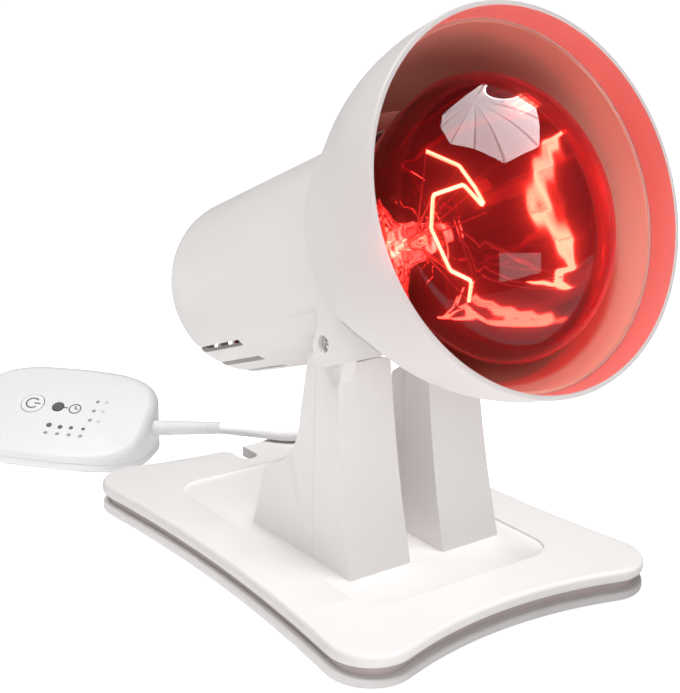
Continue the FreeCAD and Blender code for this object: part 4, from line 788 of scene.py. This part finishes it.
def flat_print(name, loops, height, body, slot, material):
    """Thin printed shapes on the control face, from closed loops of (along, across)."""
    thickness = 0.04
    shape = bmesh.new()
    for loop in loops:
        low = [shape.verts.new((*spot, height)) for spot in loop]
        high = [shape.verts.new((*spot, height + thickness)) for spot in loop]
        shape.faces.new(high)
        shape.faces.new(low[::-1])
        for index in range(len(loop)):
            after = (index + 1) % len(loop)
            shape.faces.new((low[index], low[after], high[after], high[index]))
    bmesh.ops.recalc_face_normals(shape, faces=shape.faces)
    shape.transform(Matrix.Scale(MM, 4) @ FACE)
    return settle(listed(finish_faces(to_mesh(shape, name), material), name), body, slot)


def disc(along, across, radius, steps=28):
    return [(along + radius * math.cos(math.tau * step / steps),
             across + radius * math.sin(math.tau * step / steps)) for step in range(steps)]


def arc_band(at, radius, width, start, end, steps=36):
    """A part of a ring between two angles in degrees, as one closed loop."""
    outer, inner = [], []
    for step in range(steps + 1):
        angle = math.radians(start + (end - start) * step / steps)
        for band, reach in ((outer, radius + width / 2), (inner, radius - width / 2)):
            band.append((at[0] + reach * math.cos(angle), at[1] + reach * math.sin(angle)))
    return outer + inner[::-1]


def bar(start, end, width):
    first, last = Vector(start), Vector(end)
    ahead = last - first
    aside = Vector((-ahead.y, ahead.x)).normalized() * width / 2
    return [tuple(first + aside), tuple(first - aside), tuple(last - aside), tuple(last + aside)]


POWER_AT = (-13.2, 0.5)
CLOCK_AT = (6.4, -0.3)
KEY_TOP = 0.3


def print_face():
    flat_print("power_mark", [
        arc_band(POWER_AT, 2.7, 0.7, 40, 320),
        bar((POWER_AT[0] + 0.8, POWER_AT[1]), (POWER_AT[0] + 3.6, POWER_AT[1]), 0.7)],
        KEY_TOP, "power", "button_plastic", INK_DARK)
    flat_print("timer_marks", [
        bar((1.4, -0.1), (3.2, -0.2), 0.6), arc_band(CLOCK_AT, 2.5, 0.55, 0, 360),
        bar(CLOCK_AT, (CLOCK_AT[0], CLOCK_AT[1] + 1.7), 0.5),
        bar(CLOCK_AT, (CLOCK_AT[0] + 1.4, CLOCK_AT[1]), 0.5),
    ], 0.0, "base", "handset_plastic", INK_DARK)
    flat_print("level_dots", [disc(-1.7, -10.6, 1.25), disc(3.5, -11.1, 1.1),
                              disc(8.4, -11.0, 0.95), disc(13.8, -10.9, 0.8)],
               0.0, "base", "handset_plastic", INK_DARK)
    flat_print("time_marks", [disc(19.0, across, 0.9) for across in (4.9, -0.3, -6.1)],
               0.0, "base", "handset_plastic", INK_PALE)


# ------------------------------------------------------------- reliefs and the lead
LEAD_RADIUS = 2.5
BASE_EXIT = (81.4, 56.0, 6.6)


def relief_sleeve(name, node, root, tip, root_radius, ribs, rib_depth):
    """A ribbed sleeve that grips the lead and stands for a node."""
    piece = grown(name, SLEEVE, [root, tip], [(0, 1)], {
        "Root Radius": root_radius * MM, "Tip Radius": 2.58 * MM, "Ribs": ribs,
        "Rib Depth": rib_depth * MM, "Finish": LEAD})
    return settle(piece, "base", "lead_sheath", node)


def finish_reliefs():
    root = (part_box("base_relief")[0].x / MM + 0.4, *BASE_EXIT[1:])
    return [relief_sleeve("handset_strain_relief", "handset_relief",
                          RELIEF @ Vector((-3.2, 0, 0)), RELIEF_TIP,
                          root_radius=3.5, ribs=9, rib_depth=0.12),
            relief_sleeve("base_strain_relief", "base_relief", root, BASE_EXIT,
                          root_radius=3.35, ribs=7, rib_depth=0.2)]


def coil_points():
    """Two and a half clockwise turns on the table, the last half riding on the others."""
    middle = Vector((101.5, 110.0))
    first_angle, last_angle, per_turn = 157.5, -690, 16
    # Each mark has an angle in degrees, a radius and a height.
    marks = [(180, 27.5, 2.5), (-90, 27.5, 2.5), (-170, 22.9, 2.5), (-420, 22.4, 2.5),
             (-470, 22.8, 7.3), (-560, 25.0, 7.1), (last_angle, 25.0, 7.1)]
    points = []
    angle = first_angle
    while angle > last_angle:
        for (start, near, low), (end, far, high) in zip(marks, marks[1:]):
            if end <= angle <= start:
                part = (start - angle) / (start - end)
                radius, height = near + (far - near) * part, low + (high - low) * part
        reach = radius / math.cos(math.radians(360 / per_turn / 2))
        turn = math.radians(angle)
        points.append((middle.x + reach * math.cos(turn), middle.y + reach * math.sin(turn),
                       height))
        angle -= 360 / per_turn
    return points


def finish_lead(reliefs):
    front = [(13.8, 85.0, 15.9), (24.0, 71.2, 15.6), (52.3, 66.4, 17.4), (71.0, 84.0, 13.0),
             (73.4, 101.0, 4.0)]
    rear = [(124.8, 120.7, 7.1), (128.0, 112.3, 7.3), (129.2, 103.3, 7.6), (129.4, 93.5, 6.6),
            (129.0, 82.0, 3.2), (121.5, 67.5, 2.6), (102.5, 56.0, 5.2), BASE_EXIT]
    route = [RELIEF_TIP] + front + coil_points() + rear
    curve = bpy.data.curves.new("lead", "CURVE")
    curve.dimensions = "3D"
    curve.bevel_depth = LEAD_RADIUS * MM
    curve.bevel_resolution = 6
    curve.resolution_u = 10
    curve.use_fill_caps = True
    spline = curve.splines.new("NURBS")
    spline.points.add(len(route) - 1)
    for point, spot in zip(spline.points, route):
        point.co = (*[part * MM for part in spot], 1)
    spline.order_u = 3
    spline.use_endpoint_u = True
    curve.materials.append(LEAD)
    lead = listed(curve, "lead")
    settle(lead, "base", "lead_sheath", "lead_handset_side", "lead_coil", "lead_base_side")


# ------------------------------------------------------------------------ the stage
def lay_floor():
    shape = bmesh.new()
    bmesh.ops.create_grid(shape, x_segments=1, y_segments=1, size=4.0)
    material, tree, shader = open_material("pale_floor", {
        "Roughness": 0.9, "Specular IOR Level": 0.1, "Emission Color": (1, 1, 1, 1)})
    cloud = noise(tree, object_place(tree), 3.0, 2.0)
    seen = add(tree, "ShaderNodeLightPath").outputs["Is Camera Ray"]
    glow, more_when_seen = 0.08, 0.65
    feed(tree, shader, {
        "Base Color": blend(tree, cloud, (0.96, 0.96, 0.96, 1), (0.98, 0.98, 0.98, 1)),
        "Emission Strength": calc(tree, "MULTIPLY_ADD", seen, more_when_seen, glow)})
    floor = listed(to_mesh(shape, "floor"), "floor")
    floor.data.materials.append(material)
    floor.visible_transmission = False
    floor.location.z = -0.05 * MM


# Directions from the bulb's face, and how far off things hang there, in metres.
UMBRELLA = [
    (0.26, -0.395, 0.881), (0.204, -0.475, 0.856), (0.218, -0.573, 0.79), (0.363, -0.586, 0.724),
    (0.541, -0.597, 0.593), (0.784, -0.352, 0.511), (0.825, -0.158, 0.543),
    (0.825, -0.008, 0.565), (0.623, -0.102, 0.775)]
UMBRELLA_HUB = (0.504, -0.271, 0.82)
WINDOW = [(0.359, -0.915, 0.185), (0.66, -0.744, 0.103), (0.649, -0.761, 0.003),
          (0.342, -0.94, 0.015)]
FLASH = (0.700, -0.100, 0.705)
UMBRELLA_REACH, HUB_REACH, WINDOW_REACH = 1.1, 1.188, 1.3
BULB_FRONT = 92
# The flash's rings: size, share of the umbrella's reach, and light.
FLASH_RINGS = [(1.12, 0.97, 1.6), (0.98, 0.96, 0.03)]
# The light of a panel of cloth across its width: dark along the ribs at both ends.
CLOTH = [(0, 0.45), (0.035, 0.55), (0.07, 1.0), (0.5, 0.92), (0.93, 1.0), (0.965, 0.55),
         (1, 0.45)]
CLOTH_TINT = (1, 0.97, 0.98)


def hung(way, reach):
    return in_lamp(0, BULB_FRONT, 0) * MM + Vector(way).normalized() * reach


def panel(shape, corners):
    return shape.faces.new([shape.verts.new(corner) for corner in corners])


def hang(shape, name, strength, attribute=None):
    """Hangs a studio light that only mirror reflections show."""
    material = bpy.data.materials.new(name + "_light")
    material.use_nodes = True
    tree = material.node_tree
    tree.nodes.clear()
    lamp = add(tree, "ShaderNodeEmission", {"Color": (1, 1, 1, 1), "Strength": strength})
    if attribute:
        cloth = add(tree, "ShaderNodeAttribute", attribute_name=attribute)
        feed(tree, lamp, {"Color": cloth.outputs["Color"]})
    add(tree, "ShaderNodeOutputMaterial", {"Surface": lamp.outputs[0]})
    thing = listed(to_mesh(shape, name), name)
    thing.data.materials.append(material)
    for way in ("camera", "diffuse", "transmission", "shadow"):
        setattr(thing, "visible_" + way, False)


def hang_umbrella():
    """A ribbed studio umbrella with its flash in front, and a window."""
    rim = [hung(way, UMBRELLA_REACH) for way in UMBRELLA]
    hub = hung(UMBRELLA_HUB, HUB_REACH)
    shape = bmesh.new()
    cloth = shape.loops.layers.float_color.new("cloth")
    chance = random.Random(7)
    for near, far in zip(rim, rim[1:] + rim[:1]):
        glow = chance.uniform(0.80, 1.0)
        for (low, first), (high, last) in zip(CLOTH, CLOTH[1:]):
            face = panel(shape, [hub, near.lerp(far, low), near.lerp(far, high)])
            for loop, tone in zip(face.loops, ((first + last) / 2, first, last)):
                loop[cloth] = (*[glow * tone * part for part in CLOTH_TINT], 1)
    across = Vector((0.088, 0.06, -0.081))
    tall = Vector((0.022, 0.075, -0.012))
    steps = 24
    for size, nearer, tone in FLASH_RINGS:
        middle = hung(FLASH, UMBRELLA_REACH * nearer)
        face = panel(shape, [middle + (across * math.cos(math.tau * step / steps)
                                       + tall * math.sin(math.tau * step / steps))
                             * size * UMBRELLA_REACH for step in range(steps)])
        for loop in face.loops:
            loop[cloth] = (tone, tone, tone, 1)
    hang(shape, "umbrella", 17.0, attribute="cloth")
    shape = bmesh.new()
    panel(shape, [hung(way, WINDOW_REACH) for way in WINDOW])
    hang(shape, "window", 3.0)


# What the world gives to rays of each kind; all other rays get the first value.
WORLD_LIGHT = 0.14
WORLD_SEEN = [("Is Glossy Ray", 0.06), ("Is Transmission Ray", 0.36), ("Is Camera Ray", 1.05)]


def light_world():
    world = bpy.data.worlds.new("white studio")
    bpy.context.scene.world = world
    world.use_nodes = True
    tree = world.node_tree
    tree.nodes.clear()
    path = add(tree, "ShaderNodeLightPath").outputs
    strength = WORLD_LIGHT
    for kind, seen in WORLD_SEEN:
        strength = made(tree, "ShaderNodeMix", {"Factor": path[kind], 2: strength, 3: seen})
    sky = made(tree, "ShaderNodeBackground", {"Color": (1, 0.995, 0.995, 1),
                                              "Strength": strength})
    add(tree, "ShaderNodeOutputWorld", {"Surface": sky})


def soft_light(name, spot, aim, size, power):
    """A round light of this size in metres, which aims from a spot."""
    lamp = bpy.data.lights.new(name, "AREA")
    lamp.shape = "DISK"
    lamp.size = size
    lamp.energy = power
    holder = listed(lamp, name)
    ahead = (Vector(aim) - Vector(spot)) * MM
    holder.matrix_world = shift(*Vector(spot) * MM) @ ahead.to_track_quat(
        "-Z", "Y").to_matrix().to_4x4()
    holder.visible_camera = False
    return holder


def grouped(name, things):
    group = bpy.data.collections.new(name)
    for thing in things:
        group.objects.link(thing)
    return group


def only_on(light, things):
    """Limits a light to these things."""
    light.light_linking.receiver_collection = grouped(light.name + " reaches", things)


BULB = ("ruby_bulb", "mirror_coat")
BOWL = ("shade_bell", "heat_shield")
PLATE = ("base_cover", "base_strain")
# Points of glow in the bulb: across, forward, up and power.
GLOWS = [(0, 58, 0, 0.014), (8, 62, 12, 0.007), (-6, 62, -14, 0.007)]


def light_up():
    named = bpy.data.objects
    solid = [thing for thing in named if thing.type in ("MESH", "CURVE")]

    def these(*starts):
        return [thing for thing in solid if thing.name.startswith(starts)]

    def all_but(*starts):
        return [thing for thing in solid if not thing.name.startswith(starts)]

    only_on(soft_light("top light", (-350, 250, 1300), (0, 0, 60), 0.9, 13.0),
            all_but(*PLATE, *BULB))
    only_on(soft_light("front light", (-500, -1100, 500), (0, 0, 40), 0.8, 6.0),
            all_but(*BOWL, *BULB))
    low = soft_light("base light", (100, -200, 1300), (20, -20, 0), 0.7, 14.0)
    only_on(low, these(*PLATE) + [named["lead"]])
    low.light_linking.blocker_collection = grouped("base light is blocked by",
                                                   these("base", "tower", "lead"))
    only_on(soft_light("bowl light", (-250, -1200, 750), (0, -60, 120), 0.35, 3.0), these(*BOWL))
    sun = bpy.data.lights.new("floor light", "SUN")
    sun.energy = 0.5
    sun.angle = math.radians(70)
    only_on(listed(sun, "floor light"), [named["floor"]])
    only_on(soft_light("bowl fill", (-520, -520, 1000), (0, -60, 120), 0.30, 7.5),
            [named["heat_shield_bowl"]])
    for name in ("umbrella", "window"):
        only_on(named[name], [named["ruby_bulb"]])
    only_on(named["coiled_filament"], [named[name] for name in (*BULB, "glass_stem")])
    only_on(soft_light("rim light", (1000, -1500, 700), (0, -80, 130), 0.4, 4.5),
            [named["shade_bell"], named["heat_shield_bowl"]])
    for index, (*place, power) in enumerate(GLOWS):
        lamp = bpy.data.lights.new("bulb glow %d" % index, "POINT")
        lamp.energy = power
        lamp.color = (1.0, 0.5, 0.4)
        lamp.shadow_soft_size = 6 * MM
        glow = listed(lamp, lamp.name)
        glow.location = in_lamp(*place) * MM
        glow.visible_camera = glow.visible_glossy = glow.visible_transmission = False
        only_on(glow, these(*BOWL, "glass_stem", "filament_supports"))
        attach(glow, "head")


def set_camera():
    lens = bpy.data.cameras.new("view")
    lens.lens = 78.28
    lens.sensor_width = 36.0
    camera = listed(lens, "view")
    spot, aim = Vector((-312.4, -405.0, 238.0)), Vector((-0.92, 9.95, 75.3))
    roll = math.radians(1.03)
    ahead = (aim - spot).normalized()
    right = ahead.cross(Vector((0, 0, 1))).normalized()
    up = right.cross(ahead)
    right, up = (right * math.cos(roll) + up * math.sin(roll),
                 up * math.cos(roll) - right * math.sin(roll))
    turn = Matrix((right, up, -ahead)).transposed().to_4x4()
    camera.matrix_world = Matrix.Translation(spot * MM) @ turn
    bpy.context.scene.camera = camera


def bloom():
    """The soft halo of a very bright wire in a lens."""
    scene = bpy.context.scene
    scene.use_nodes = True
    tree = scene.node_tree
    tree.nodes.clear()
    picture = add(tree, "CompositorNodeRLayers")
    halo = add(tree, "CompositorNodeGlare", {
        "Image": picture.outputs["Image"], "Threshold": 1.6, "Smoothness": 0.2,
        "Strength": 0.45, "Size": 0.55}, glare_type="BLOOM")
    add(tree, "CompositorNodeComposite", {"Image": halo.outputs["Image"]})


def set_view():
    scene = bpy.context.scene
    scene.view_settings.view_transform = "Standard"
    scene.view_settings.look = "None"
    scene.cycles.max_bounces = 20
    scene.cycles.transmission_bounces = 16
    scene.cycles.glossy_bounces = 8
    scene.cycles.transparent_max_bounces = 16
    scene.cycles.sample_clamp_indirect = 12.0


finish_base()
finish_screws()
finish_head()
finish_bulb()
finish_handset()
print_face()
finish_lead(finish_reliefs())
lay_floor()
hang_umbrella()
light_world()
light_up()
set_camera()
bloom()
set_view()
